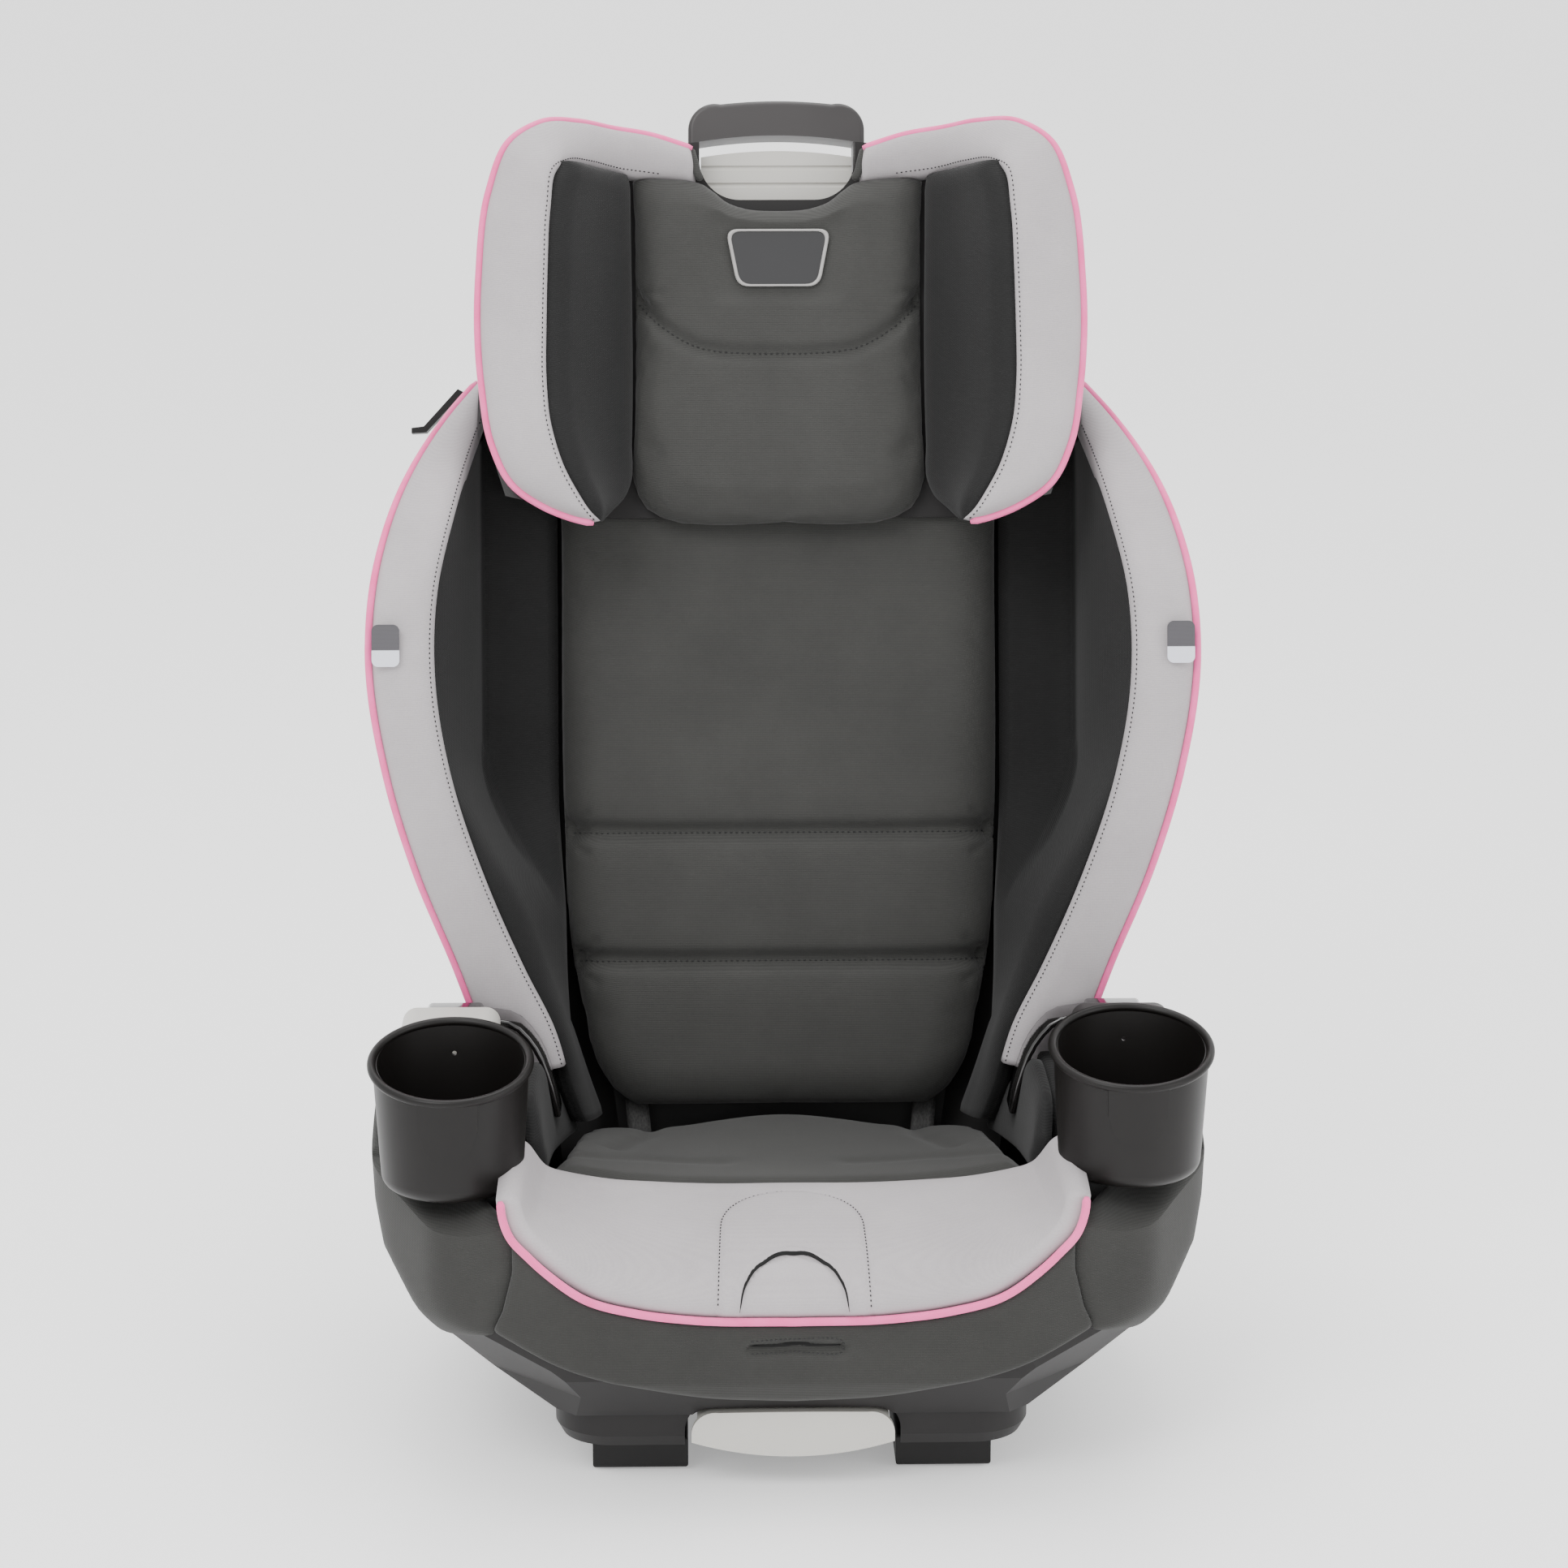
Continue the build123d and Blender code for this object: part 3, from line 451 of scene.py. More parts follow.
def pipingCloth(name):
    material, tree, shader = newMaterial(name)
    place = placeOn(tree)
    slant = waves(tree, mathNode(tree, "ADD", along(tree, place, 2), along(tree, place, 0)), 0.0009)
    cloud = texture(tree, "Noise", place, Scale=60.0, Detail=4.0)
    paint(tree, shader, mathNode(tree, "MULTIPLY_ADD", slant, 0.15, cloud), (234, 62, 138), (250, 112, 176))
    emboss(tree, shader, slant, 0.35, 0.0002)
    shader.inputs["Roughness"].default_value = 0.6
    shader.inputs["Sheen Weight"].default_value = 0.3
    return material


def labelTape(name):  # dark above, pale below
    material, tree, shader = newMaterial(name)
    height = along(tree, placeOn(tree), 2)
    weave = waves(tree, height, 0.0006)
    step = tree.nodes.new("ShaderNodeMapRange")
    step.inputs["From Min"].default_value = 0.4610
    step.inputs["From Max"].default_value = 0.4616
    tree.links.new(height, step.inputs[0])
    tone = mathNode(tree, "MULTIPLY_ADD", weave, 0.04, step.outputs[0])
    paint(tree, shader, tone, (214, 216, 226), (64, 62, 66))
    emboss(tree, shader, weave, 0.3, 0.0001)
    shader.inputs["Roughness"].default_value = 0.55
    return material


def seatWebbing(name):
    material, tree, shader = newMaterial(name)
    weave = texture(tree, "Voronoi", placeOn(tree, Scale=(1, 1, 0.5)), Scale=900.0)
    paint(tree, shader, weave, (30, 30, 30), (62, 61, 60))
    emboss(tree, shader, weave, 0.6, 0.0003)
    shader.inputs["Roughness"].default_value = 0.7
    return material


def openFoam(name):
    material, tree, shader = newMaterial(name)
    cells = texture(tree, "Voronoi", placeOn(tree), Scale=420.0)
    paint(tree, shader, cells, (26, 26, 26), (44, 44, 43))
    emboss(tree, shader, cells, 0.5, 0.0006)
    shader.inputs["Roughness"].default_value = 0.9
    return material


backTilt = -lean
finishes = {
    "charcoal": knitCloth("charcoalKnit", (38, 38, 37), (66, 66, 64), 0.12, backTilt),
    "dark": knitCloth("darkKnit", (12, 12, 12), (34, 34, 34), 0.08, backTilt),
    "grey": knitCloth("greyKnit", (146, 141, 143), (190, 185, 187), 0.10, backTilt, bump=0.2, contrast=0.1),
    "seatCharcoal": knitCloth("seatKnit", (38, 38, 37), (66, 66, 64), 0.12, math.radians(-60), bump=0.3,
                              contrast=0.12),
    "frontCharcoal": knitCloth("apronKnit", (32, 32, 31), (56, 56, 54), 0.10, 0.0),
    "frontGrey": knitCloth("panelKnit", (146, 141, 143), (190, 185, 187), 0.10, math.radians(-30),
                           bump=0.14, contrast=0.06),
    "pink": pipingCloth("pinkPiping"),
    "shell": mouldedPlastic("shellPlastic", (16, 14, 14), 0.5, shine=0.3),
    "base": mouldedPlastic("basePlastic", (12, 11, 11), 0.52, wear=6, shine=0.3),
    "rubber": mouldedPlastic("footRubber", (22, 22, 22), 0.8, grain=0.5),
    "handle": mouldedPlastic("handlePlastic", (36, 33, 33), 0.45),
    "light": mouldedPlastic("lightPlastic", (186, 184, 178), 0.4, wear=6),
    "cup": mouldedPlastic("cupPlastic", (15, 13, 12), 0.4, grain=0.12, wear=6, shine=0.25),
    "gloss": mouldedPlastic("glossBlack", (16, 14, 14), 0.14, grain=0.03, coat=0.6, wear=4),
    "steel": barSteel("barSteel"),
    "foam": openFoam("openFoam"),
    "webbing": seatWebbing("seatWebbing"),
    "label": labelTape("labelTape"),
    "badge": mouldedPlastic("badgeFace", (24, 24, 26), 0.3, grain=0.05, coat=0.3, wear=4),
    "badgeRim": mouldedPlastic("badgeRim", (150, 148, 146), 0.35, grain=0.05, wear=5),
    "thread": mouldedPlastic("darkThread", (26, 26, 27), 0.7, grain=0.4, wear=3),
    # painted shadow: near-black finish for the tubes laid where the slits hold only shade
    "slit": mouldedPlastic("slitShadow", (8, 8, 8), 0.95, grain=0.2, wear=2),
}

hardParts = {
    "shell": ("back_shell", "seat_shell", "headrest_shell"),
    "base": ("base_frame", "height_racks", "headrest_carrier", "belt_keeper"),
    "rubber": ("base_foot_pads",),
    "handle": ("headrest_handle", "armrest_cap_right"),
    "light": ("headrest_grip", "recline_handle", "armrest_cap_left"),
    "cup": ("cup_holder_left", "cup_holder_right"),
    "gloss": ("belt_guide_left", "belt_guide_right", "shoulder_belt_guide_left",
              "shoulder_belt_guide_right"),
    "steel": ("recline_racks", "rack_screws", "recline_pivot_tube", "recline_pivot_clips", "shell_screws",
              "headrest_grip_springs", "headrest_lock_bar", "headrest_pull_rods", "recline_latch",
              "recline_springs"),
    "label": ("side_labels",),
    "badge": ("headrest_badge",),
}
for finish, names in hardParts.items():
    for node in names:
        mesh = cadNodes[node].data
        for k in range(max(1, len(mesh.materials))):
            if mesh.materials:
                mesh.materials[k] = finishes[finish]
            else:
                mesh.materials.append(finishes[finish])
print("materials made")


def dress(piece, finish, body, slotName, *nodes):
    piece.data.materials.clear()
    piece.data.materials.append(finishes[finish])
    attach(piece, body)
    if nodes:
        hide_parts(*nodes)
    return piece


forward = (0, -math.cos(lean), math.sin(lean))  # out of the backrest's face
intoBack = (0, math.cos(lean), -math.sin(lean))
facing = lambda co: offBack(co)[..., :2]  # as seen square to the backrest
fromAbove = lambda co: offRow(co)[..., [0, 1]]


# ---- headrest

headPad = {
    "low": [(0, 376), (52, 376.5), (70, 379), (82, 384.5), (90, 392), (95, 405)],
    "high": [(0, 583.5), (14, 584), (26, 586), (34, 589.5), (41, 594.5), (47, 598.5), (54, 601),
             (70, 602), (96, 601)],
    "half": 95.5, "base": 42, "rise": 16, "reach": 24,
    "arc": [(-96, 528), (-78, 507), (-52, 491), (-24, 487), (0, 486.5), (24, 487), (52, 491), (78, 507),
            (96, 528)],
}


def makeHeadPad():
    u = spread(90) * 2 - 1
    x = u * headPad["half"]
    low, high = follow(headPad["low"], abs(x)), follow(headPad["high"], abs(x))
    v = spread(60)[:, None]
    h = low[None] + (high - low)[None] * v
    x = np.broadcast_to(x, h.shape)
    reach = headPad["reach"]
    lift = crown(headPad["half"] - abs(x), reach) * crown(h - low[None], reach)
    lift = lift * crown(high[None] - h, reach * 0.7)
    hollow = 1 - 0.14 * np.exp(-((h - 500) / 60) ** 2)
    front = np.stack([x, h, headPad["base"] + headPad["rise"] * lift * hollow], -1)
    back = np.stack([x, h, np.full_like(h, headPad["base"] - 4.5)], -1)
    piece = closedForm("headrestCushion", onBack(front), onBack(back))
    puff(piece, 0.0045, 3.0, 0.004)
    # the badge holds the filling down behind it
    co = offBack(meshPoints(piece))
    beside = np.maximum(abs(co[:, 0]) - 35, 0)
    above = np.maximum(abs(co[:, 1] - 547.5) - 21, 0)
    co[:, 2] = np.minimum(co[:, 2], 57.4 + 0.3 * np.hypot(beside, above))
    movePoints(piece, onBack(co))
    arc = through(headPad["arc"], 40)
    sew(piece, arc, 4.2, 4.5, facing, forward)
    for side in (-1, 1):
        for lean2 in (-1, 0, 1):
            sew(piece, [(side * 94, 527), (side * 76, 514 + 11 * lean2)], 1.0, 2.6, facing, forward)
    dress(piece, "charcoal", "headrest", "charcoal_fabric", "headrest_pad")
    return piece, arc


headWing = {
    "seam": [(378, 113, 104), (386, 108, 84), (394, 102, 62), (405, 97.5, 50), (430, 96.5, 47),
             (600, 96.5, 47)],
    "edge": [(378, 116.5, 122), (385, 121, 127), (395, 127, 130), (412, 136, 133), (435, 143, 134.5),
             (461, 146, 135), (500, 146, 135), (536, 145, 135), (572, 143, 134), (588, 140, 132),
             (600, 133, 127)],
}


def makeWing(side):
    h = np.concatenate([np.linspace(378, 410, 12), np.linspace(418, 585, 34), np.linspace(589, 601, 6)])
    seam, edge = follow(headWing["seam"], h), follow(headWing["edge"], h)
    a = np.column_stack([seam[:, 0], h, seam[:, 1]])
    b = np.column_stack([edge[:, 0], h, edge[:, 1]])
    s = spread(34)[:, None]
    grid = a[None] * (1 - s[..., None]) + b[None] * s[..., None]
    chord = np.linalg.norm(b - a, axis=1)[None]
    swell = crown(s * chord, 22) * crown((1 - s) * chord, 16)
    swell = swell * crown(h - 376, 20)[None] * crown(603 - h, 16)[None]
    swell = swell * (1 - 0.25 * np.cos(math.pi * (s - 0.4)) ** 2)
    out = np.array([-0.87, 0, 0.49])
    front = grid + out * (9.0 * swell)[..., None]
    rear = grid + np.array([14, 0, -8]) * np.array([1, 1, 1]) * np.minimum(1, chord / 80)[..., None]
    rear[..., 2] = np.maximum(rear[..., 2], 38)
    rear[..., 0] = np.minimum(rear[..., 0], 172)
    if side < 0:
        front, rear = flip(front), flip(rear)
    piece = closedForm("headrestWingCover_" + ("right" if side > 0 else "left"), onBack(front),
                       onBack(rear))
    dress(piece, "dark", "headrest", "dark_fabric", "headrest_wing_" + ("right" if side > 0 else "left"))
    return piece


headRim = {
    "outer": [(54.5, 617, 50), (81, 625, 53), (104, 627.5, 65), (126, 629, 88), (150, 625, 112),
              (168, 612, 123), (180, 582, 126), (186.5, 530, 126), (187.5, 505, 126), (185, 460, 126),
              (179, 425, 126), (167, 401, 126), (148, 387.5, 125), (131, 380.5, 124), (117, 377, 122)],
    "inner": [(52.5, 597, 46), (80, 600.5, 47), (100, 602, 58), (118, 603, 88), (131, 601, 114),
              (139.5, 594, 130), (142.5, 572, 133.5), (144.5, 536, 134.5), (145.5, 500, 134.5),
              (145.5, 461, 134.5), (142.5, 435, 134), (135.5, 412, 132.5), (127, 395.5, 130),
              (119.5, 384, 126), (113.5, 378, 121)],
}


def makeHeadRim(side):
    # the two lines are read at the same share of their length
    p = np.asarray(headRim["outer"], float)
    run = np.concatenate([[0], np.cumsum(np.linalg.norm(np.diff(p, axis=0), axis=1))])
    at = np.linspace(0, run[-1], 110)
    outer = follow(np.column_stack([run, p]), at)
    inner = follow(np.column_stack([run, np.asarray(headRim["inner"], float)]), at)
    s = spread(22)[:, None]
    grid = inner[None] * (1 - s[..., None]) + outer[None] * s[..., None]
    span = np.linalg.norm(outer - inner, axis=1)[None]
    out = np.array([0, 0.0, 1.0])[None] * np.ones((110, 3))
    high = np.clip((outer[:, 1] - 585) / 40, 0, 1)[:, None] * np.array([[0.0, 0.45, -0.1]])
    inward = np.clip((130 - outer[:, 0]) / 40, 0, 1)[:, None]
    inward = inward * np.clip((outer[:, 1] - 600) / 20, 0, 1)[:, None]
    out = out + high - inward * np.array([[0.35, 0, 0.15]])
    out /= np.linalg.norm(out, axis=1, keepdims=True)
    swell = crown(s * span, 12) * crown((1 - s) * span, 16)
    swell = swell * crown(at, 5)[None] * crown(run[-1] - at, 14)[None]
    front = grid + out[None] * (9.0 * swell)[..., None]
    back = grid - out[None] * 7
    back[..., 2] = np.maximum(back[..., 2], 38)
    if side < 0:
        front, back, outer, inner = flip(front), flip(back), flip(outer), flip(inner)
    word = "right" if side > 0 else "left"
    piece = closedForm("headrestRim_" + word, onBack(front), onBack(back))
    dress(piece, "grey", "headrest", "grey_fabric", "headrest_border_" + word)
    return piece, outer, inner


headCushion, headArc = makeHeadPad()
headRims, headWings = {}, {}
headPipes = []
for side in (-1, 1):
    word = "right" if side > 0 else "left"
    headWings[side] = makeWing(side)
    headRims[side] = makeHeadRim(side)
    line = headRims[side][1].copy()
    middle = np.array([side * 60, 500, 0])
    push = line - middle
    push[:, 2] = 0
    push /= np.linalg.norm(push, axis=1, keepdims=True)
    pipe = tube("headrestPipe_" + word, onBack(line + push * 1.2 + np.array([0, 0, 1.6])), 0.0023)
    headPipes.append(pipe)
print("headrest cushions made")


def joinPieces(name, pieces):
    bpy.ops.object.select_all(action="DESELECT")
    for p in pieces:
        p.select_set(True)
    bpy.context.view_layer.objects.active = pieces[0]
    bpy.ops.object.join()
    pieces[0].name = name
    pieces[0].select_set(False)
    return pieces[0]


headPipe = joinPieces("headrestPiping", headPipes)
dress(headPipe, "pink", "headrest", "pink_piping", "headrest_piping")


def bindings():
    made = []
    for side in (-1, 1):
        path = through([(side * 55.5, 618, 47), (side * 53.5, 611, 50), (side * 51.5, 603, 50),
                        (side * 49, 598.5, 48)], 16)
        made.append(tube("binding", onBack(path), 0.0026, 12))
    piece = joinPieces("gripOpeningBinding", made)
    dress(piece, "charcoal", "headrest", "charcoal_fabric", "headrest_straps")
    return piece


bindings()

badgeRim = {"half": (32.6, 25.6), "span": (565.2, 529.8), "round": 7.5, "out": 59.6}


def makeBadgeRim():
    (wide, narrow), (top, low) = badgeRim["half"], badgeRim["span"]
    corners = [(wide, top), (narrow, low), (-narrow, low), (-wide, top)]
    path = []
    for i, c in enumerate(corners):
        c = np.array(c, float)
        before, after = np.array(corners[i - 1], float), np.array(corners[(i + 1) % 4], float)
        a = c + (before - c) / np.linalg.norm(before - c) * badgeRim["round"]
        b = c + (after - c) / np.linalg.norm(after - c) * badgeRim["round"]
        for t in np.linspace(0, 1, 7):
            path.append((1 - t) ** 2 * a + 2 * t * (1 - t) * c + t * t * b)
    path = np.array(path)
    rings = []
    for inset, out in ((0.9, -1.2), (0.9, 0.35), (0.3, 0.8), (-0.9, 0.8), (-1.5, 0.3), (-1.5, -1.2)):
        scale = 1 + inset / 30
        centre = np.array([0, (top + low) / 2])
        ring = centre + (path - centre) * scale
        rings.append(np.column_stack([ring, np.full(len(ring), badgeRim["out"] + out)]))
    n = len(path)
    verts = onBack(np.concatenate(rings))
    faces = [(r * n + k, r * n + (k + 1) % n, ((r + 1) % 6) * n + (k + 1) % n, ((r + 1) % 6) * n + k)
             for r in range(6) for k in range(n)]
    piece = makeObject("badgeFrame", verts, faces)
    return dress(piece, "badgeRim", "headrest", "badge")


makeBadgeRim()


# ---- backrest

wingDepth = [(-60, 56), (30, 82), (95, 104), (160, 126), (220, 139), (300, 144), (355, 133), (405, 104),
             (445, 64),
             (475, 36)]
backWidth = [(-60, 166), (30, 184), (95, 205), (160, 230), (220, 247), (300, 257), (355, 251), (405, 235),
             (445, 213), (475, 190)]
borderInner = [(20, 134), (60, 145), (96, 162), (157, 187), (218, 206), (273, 215), (333, 214), (383, 204),
               (423, 194), (480, 176)]
backPad = {
    "half": [(0, 96), (8, 107), (25, 119), (62, 129), (97, 136.5), (180, 141.5), (400, 142)],
    "low": 2, "high": 400, "base": 8, "rise": 21, "reach": 34, "channels": (180, 97),
}


def makeBackPad():
    v = np.concatenate([np.linspace(0, 40, 16), np.linspace(44, 398, 76)])
    h = backPad["low"] + v
    half = follow(backPad["half"], h - backPad["low"])
    u = spread(60) * 2 - 1
    x = half[:, None] * u[None]
    h = np.broadcast_to(h[:, None], x.shape)
    lift = crown(half[:, None] - abs(x), backPad["reach"]) * crown(h - backPad["low"] + 0.6, 30)
    lift = lift * crown(backPad["high"] - h + 1, 20)
    front = np.stack([x, h, backPad["base"] + backPad["rise"] * lift], -1)
    back = np.stack([x, h, np.full_like(h, 2.0)], -1)
    piece = closedForm("backCushion", onBack(front), onBack(back))
    puff(piece, 0.005, 3.0, 0.0016)
    for level in backPad["channels"]:
        reach = float(follow(backPad["half"], level)) + 2
        line = [(-reach, level + 1.5), (-reach * 0.5, level), (reach * 0.5, level), (reach, level + 1.5)]
        sew(piece, line, 6.5, 5.0, facing, forward)
        sew(piece, line, 2.0, 16.0, facing, forward)
        for side in (-1, 1):
            for k in (-1, 1):
                sew(piece, [(side * reach, level), (side * (reach - 18), level + k * 13)], 1.2, 3.0,
                    facing, forward)
    co = offBack(meshPoints(piece))
    co[:, 2] = np.minimum(co[:, 2], 30.6)
    movePoints(piece, onBack(co))
    dress(piece, "charcoal", "seat", "charcoal_fabric", "back_pad")
    return piece


def makeBolster(side):
    h = np.concatenate([np.linspace(-2, 60, 14), np.linspace(68, 474, 84)])
    inner = follow(borderInner, np.maximum(h, 20)) - np.clip(20 - h, 0, 30) * 0.35
    deep = follow(wingDepth, h) - 0.5
    edge = np.column_stack([inner, h, deep])
    foot = np.column_stack([np.where(h < 60, 118 + np.clip(h, 0, 60) * 0.42, 143.5), h,
                            np.full_like(h, 5.0)])
    s = spread(56)[:, None]
    grid = foot[None] * (1 - s[..., None]) + edge[None] * s[..., None]
    chord = edge - foot
    span = np.linalg.norm(chord, axis=1)
    out = np.column_stack([-chord[:, 2], np.zeros_like(h), chord[:, 0]]) / span[:, None]
    swell = crown(s * span[None], 30) * crown((1 - s) * span[None], 26)
    size = np.interp(h, (-2, 60, 190), (4, 8, 13))
    front = grid + out[None] * (size[None] * swell)[..., None]
    # the headrest slides down between the wings, so the wall is upright there
    clear = np.clip((h - 120) / 112, 0, 1)
    clear = (clear * clear * (3 - 2 * clear))[None]
    w = s[:, 0]
    upper = (np.maximum(w - 0.42, 0) / 0.58)[:, None]
    steepX = np.interp(w, (0, 0.12, 0.3, 0.42, 1),
                       (143.5, 150, 186, 192.5, 193))[:, None] * np.ones_like(h)[None]
    steepX = np.where(w[:, None] > 0.42, 192.5 + (inner[None] - 192.5) * upper ** 1.6, steepX)
    steepD = np.interp(w, (0, 0.12, 0.3, 0.42, 1),
                       (5, 11, 13.5, 26, 100))[:, None] * np.ones_like(h)[None]
    steepD = np.where(w[:, None] > 0.42, 26 + (deep[None] - 26) * upper ** 0.85, steepD)
    steepX = np.minimum(steepX, np.maximum(inner[None], 146))
    blendX = front[..., 0] * (1 - clear) + steepX * clear
    blendD = front[..., 2] * (1 - clear) + steepD * clear
    inWay = (h[None] > 236) & (blendX < 191.5)
    blendD = np.where(inWay, np.minimum(blendD, np.where(blendX > 145, 14.5, 30)), blendD)
    front = np.stack([blendX, front[..., 1], blendD], -1)
    back = front.copy()
    shellHalf = follow(backWidth, h)[None]
    back[..., 0] = np.minimum(front[..., 0] + 9,
                              shellHalf * (0.86 + 0.1 * np.clip(front[..., 2] / 60, 0, 1)) - 5)
    back[..., 0] = np.maximum(back[..., 0], front[..., 0] + 1)
    back[..., 2] = np.maximum(front[..., 2] - 5, 0.8)
    word = "right" if side > 0 else "left"
    if side < 0:
        front, back, edge = flip(front), flip(back), flip(edge)
    piece = closedForm("wingBolster_" + word, onBack(front), onBack(back))
    dress(piece, "dark", "seat", "dark_fabric", "bolster_" + word)
    return piece


def makeBackRim(side):
    h = np.linspace(36, 470, 120)
    deep = follow(wingDepth, h)
    outer = np.column_stack([follow(backWidth, h) - 2.5, h, deep + 2.5])
    inner = np.column_stack([follow(borderInner, h), h, deep + 0.5])
    s = spread(24)[:, None]
    grid = inner[None] * (1 - s[..., None]) + outer[None] * s[..., None]
    span = np.linalg.norm(outer - inner, axis=1)[None]
    slope = np.gradient(deep, h)
    out = np.column_stack([np.zeros_like(h), -slope, np.ones_like(h)])
    out /= np.linalg.norm(out, axis=1, keepdims=True)
    swell = crown(s * span, 13) * crown((1 - s) * span, 18)
    front = grid + out[None] * (9.0 * swell)[..., None]
    back = grid - out[None] * 6
    x, d = front[..., 0], front[..., 2]
    inWay = (h[None] > 236) & (d > 31)
    front[..., 0] = np.where(inWay, np.maximum(x, np.minimum(191.5 + 0 * x, outer[None, :, 0] - 2)), x)
    word = "right" if side > 0 else "left"
    if side < 0:
        front, back, outer, inner = flip(front), flip(back), flip(outer), flip(inner)
    piece = closedForm("wingRim_" + word, onBack(front), onBack(back))
    dress(piece, "grey", "seat", "grey_fabric", "back_border_" + word)
    return piece, outer, inner


backCushion = makeBackPad()
backRims, bolsters, backPipes = {}, {}, []
for side in (-1, 1):
    word = "right" if side > 0 else "left"
    bolsters[side] = makeBolster(side)
    backRims[side] = makeBackRim(side)
    line = backRims[side][1] + np.array([side * 1.8, 0, 2.2])
    backPipes.append(tube("backPipe_" + word, onBack(line), 0.0023))
backPipe = joinPieces("backPiping", backPipes)
dress(backPipe, "pink", "seat", "pink_piping", "back_piping")
liner = softCopy("backLiner", "back_liner", 0.006, 3)
dress(liner, "foam", "seat", "foam", "back_liner")
print("backrest cushions made")


# ---- belt guides

beltGuide = {
    "ledge": {"across": (188, 223), "height": (222, 237), "depth": (-33.5, -4.0), "round": 0.003},
    "box": {"across": (195.5, 214.5), "height": (205.5, 228), "depth": (-30.0, -6.0), "round": 0.0025},
    "lip": {"across": (196.5, 213.5), "height": (207.0, 208.4), "depth": (-31.2, -28.0), "round": 0.0004},
    "fin": [(191, 232.5), (180, 231.4), (172, 230), (165.5, 226.5), (160, 220.5), (155.5, 214),
            (151.5, 206),
            (148.5, 197), (146, 188), (143.8, 178), (142, 169)],
    "finDepth": (-31.5, -6.0), "finThick": 0.0042,
}


def beltBlock(part, side):  # a block with softened edges
    centre = [(part[k][0] + part[k][1]) / 2000 for k in ("across", "depth", "height")]
    size = [abs(part[k][1] - part[k][0]) / 1000 for k in ("across", "depth", "height")]
    bpy.ops.object.select_all(action="DESELECT")
    bpy.ops.mesh.primitive_cube_add(size=1)
    block = bpy.context.object
    bpy.ops.object.mode_set(mode="EDIT")
    bpy.ops.mesh.select_all(action="SELECT")
    bpy.ops.transform.resize(value=size, center_override=(0, 0, 0))
    bpy.ops.transform.translate(value=(side * centre[0], centre[1], centre[2]))
    bpy.ops.mesh.bevel(offset=part["round"], segments=4, affect="EDGES")
    bpy.ops.object.mode_set(mode="OBJECT")
    return block


def beltFin(side):  # the curved arm the belt slides behind
    (x, z), (rear, ahead) = beltGuide["fin"][0], beltGuide["finDepth"]
    bpy.ops.object.select_all(action="DESELECT")
    bpy.ops.mesh.primitive_plane_add(size=1)
    fin = bpy.context.object
    bpy.ops.object.mode_set(mode="EDIT")
    bpy.ops.mesh.select_all(action="SELECT")
    bpy.ops.mesh.delete(type="ONLY_FACE")
    bpy.ops.mesh.select_all(action="DESELECT")
    bm = bmesh.from_edit_mesh(fin.data)
    bm.verts.ensure_lookup_table()
    low = sorted(bm.verts, key=lambda v: v.co.x)[2:]
    bmesh.ops.delete(bm, geom=[v for v in bm.verts if v not in low], context="VERTS")
    for v in bm.verts:
        v.co = (side * x / 1000, (rear if v.co.y < 0 else ahead) / 1000, z / 1000)
        v.select = True
    bm.select_flush(True)
    bmesh.update_edit_mesh(fin.data)
    bpy.ops.mesh.select_mode(type="EDGE")
    bpy.ops.mesh.select_all(action="SELECT")
    for (ax, az), (bx, bz) in zip(beltGuide["fin"], beltGuide["fin"][1:]):
        bpy.ops.mesh.extrude_region_move(
            TRANSFORM_OT_translate={"value": (side * (bx - ax) / 1000, 0, (bz - az) / 1000)})
    bpy.ops.object.mode_set(mode="OBJECT")
    solid = fin.modifiers.new("solid", "SOLIDIFY")
    solid.thickness = beltGuide["finThick"]
    solid.offset = 0
    bpy.ops.object.modifier_apply(modifier="solid")
    bevel = fin.modifiers.new("bevel", "BEVEL")
    bevel.width, bevel.segments, bevel.limit_method = 0.0015, 3, "ANGLE"
    bpy.ops.object.modifier_apply(modifier="bevel")
    return fin


def makeBeltGuide(side):
    word = "right" if side > 0 else "left"
    parts = [beltBlock(beltGuide[key], side) for key in ("ledge", "box")] + [beltFin(side)]
    piece = joinPieces("beltGuideBody_" + word, parts)
    piece.data.shade_smooth()
    dress(piece, "gloss", "seat", "gloss_black", "belt_guide_" + word)
    lip = beltBlock(beltGuide["lip"], side)
    lip.name = "beltGuideLip_" + word
    dress(lip, "light", "seat", "light_plastic")


for side in (-1, 1):
    makeBeltGuide(side)
print("belt guides made")


# ---- seat

tubPlan = [(130, -250), (206, -214), (250, -132), (252, -20), (214, 66)]
tubFront = [(46, 140), (62, 178), (104, 221), (127, 240), (152, 246), (230, 252), (420, 252)]
tubSide = [(46, -221), (76, -243), (110, -251), (420, -252)]
tubCorner = [(46, 176), (62, 182), (84, 203), (104, 222), (127, 238), (152, 248), (200, 254), (420, 254)]
tubCentre = -100.0
centring = 4.3  # the tub's own drawing starts this much further forward


def softLeast(values, width):
    v = np.stack(values, -1)
    return -width * np.log(np.sum(np.exp(-v / width), -1))


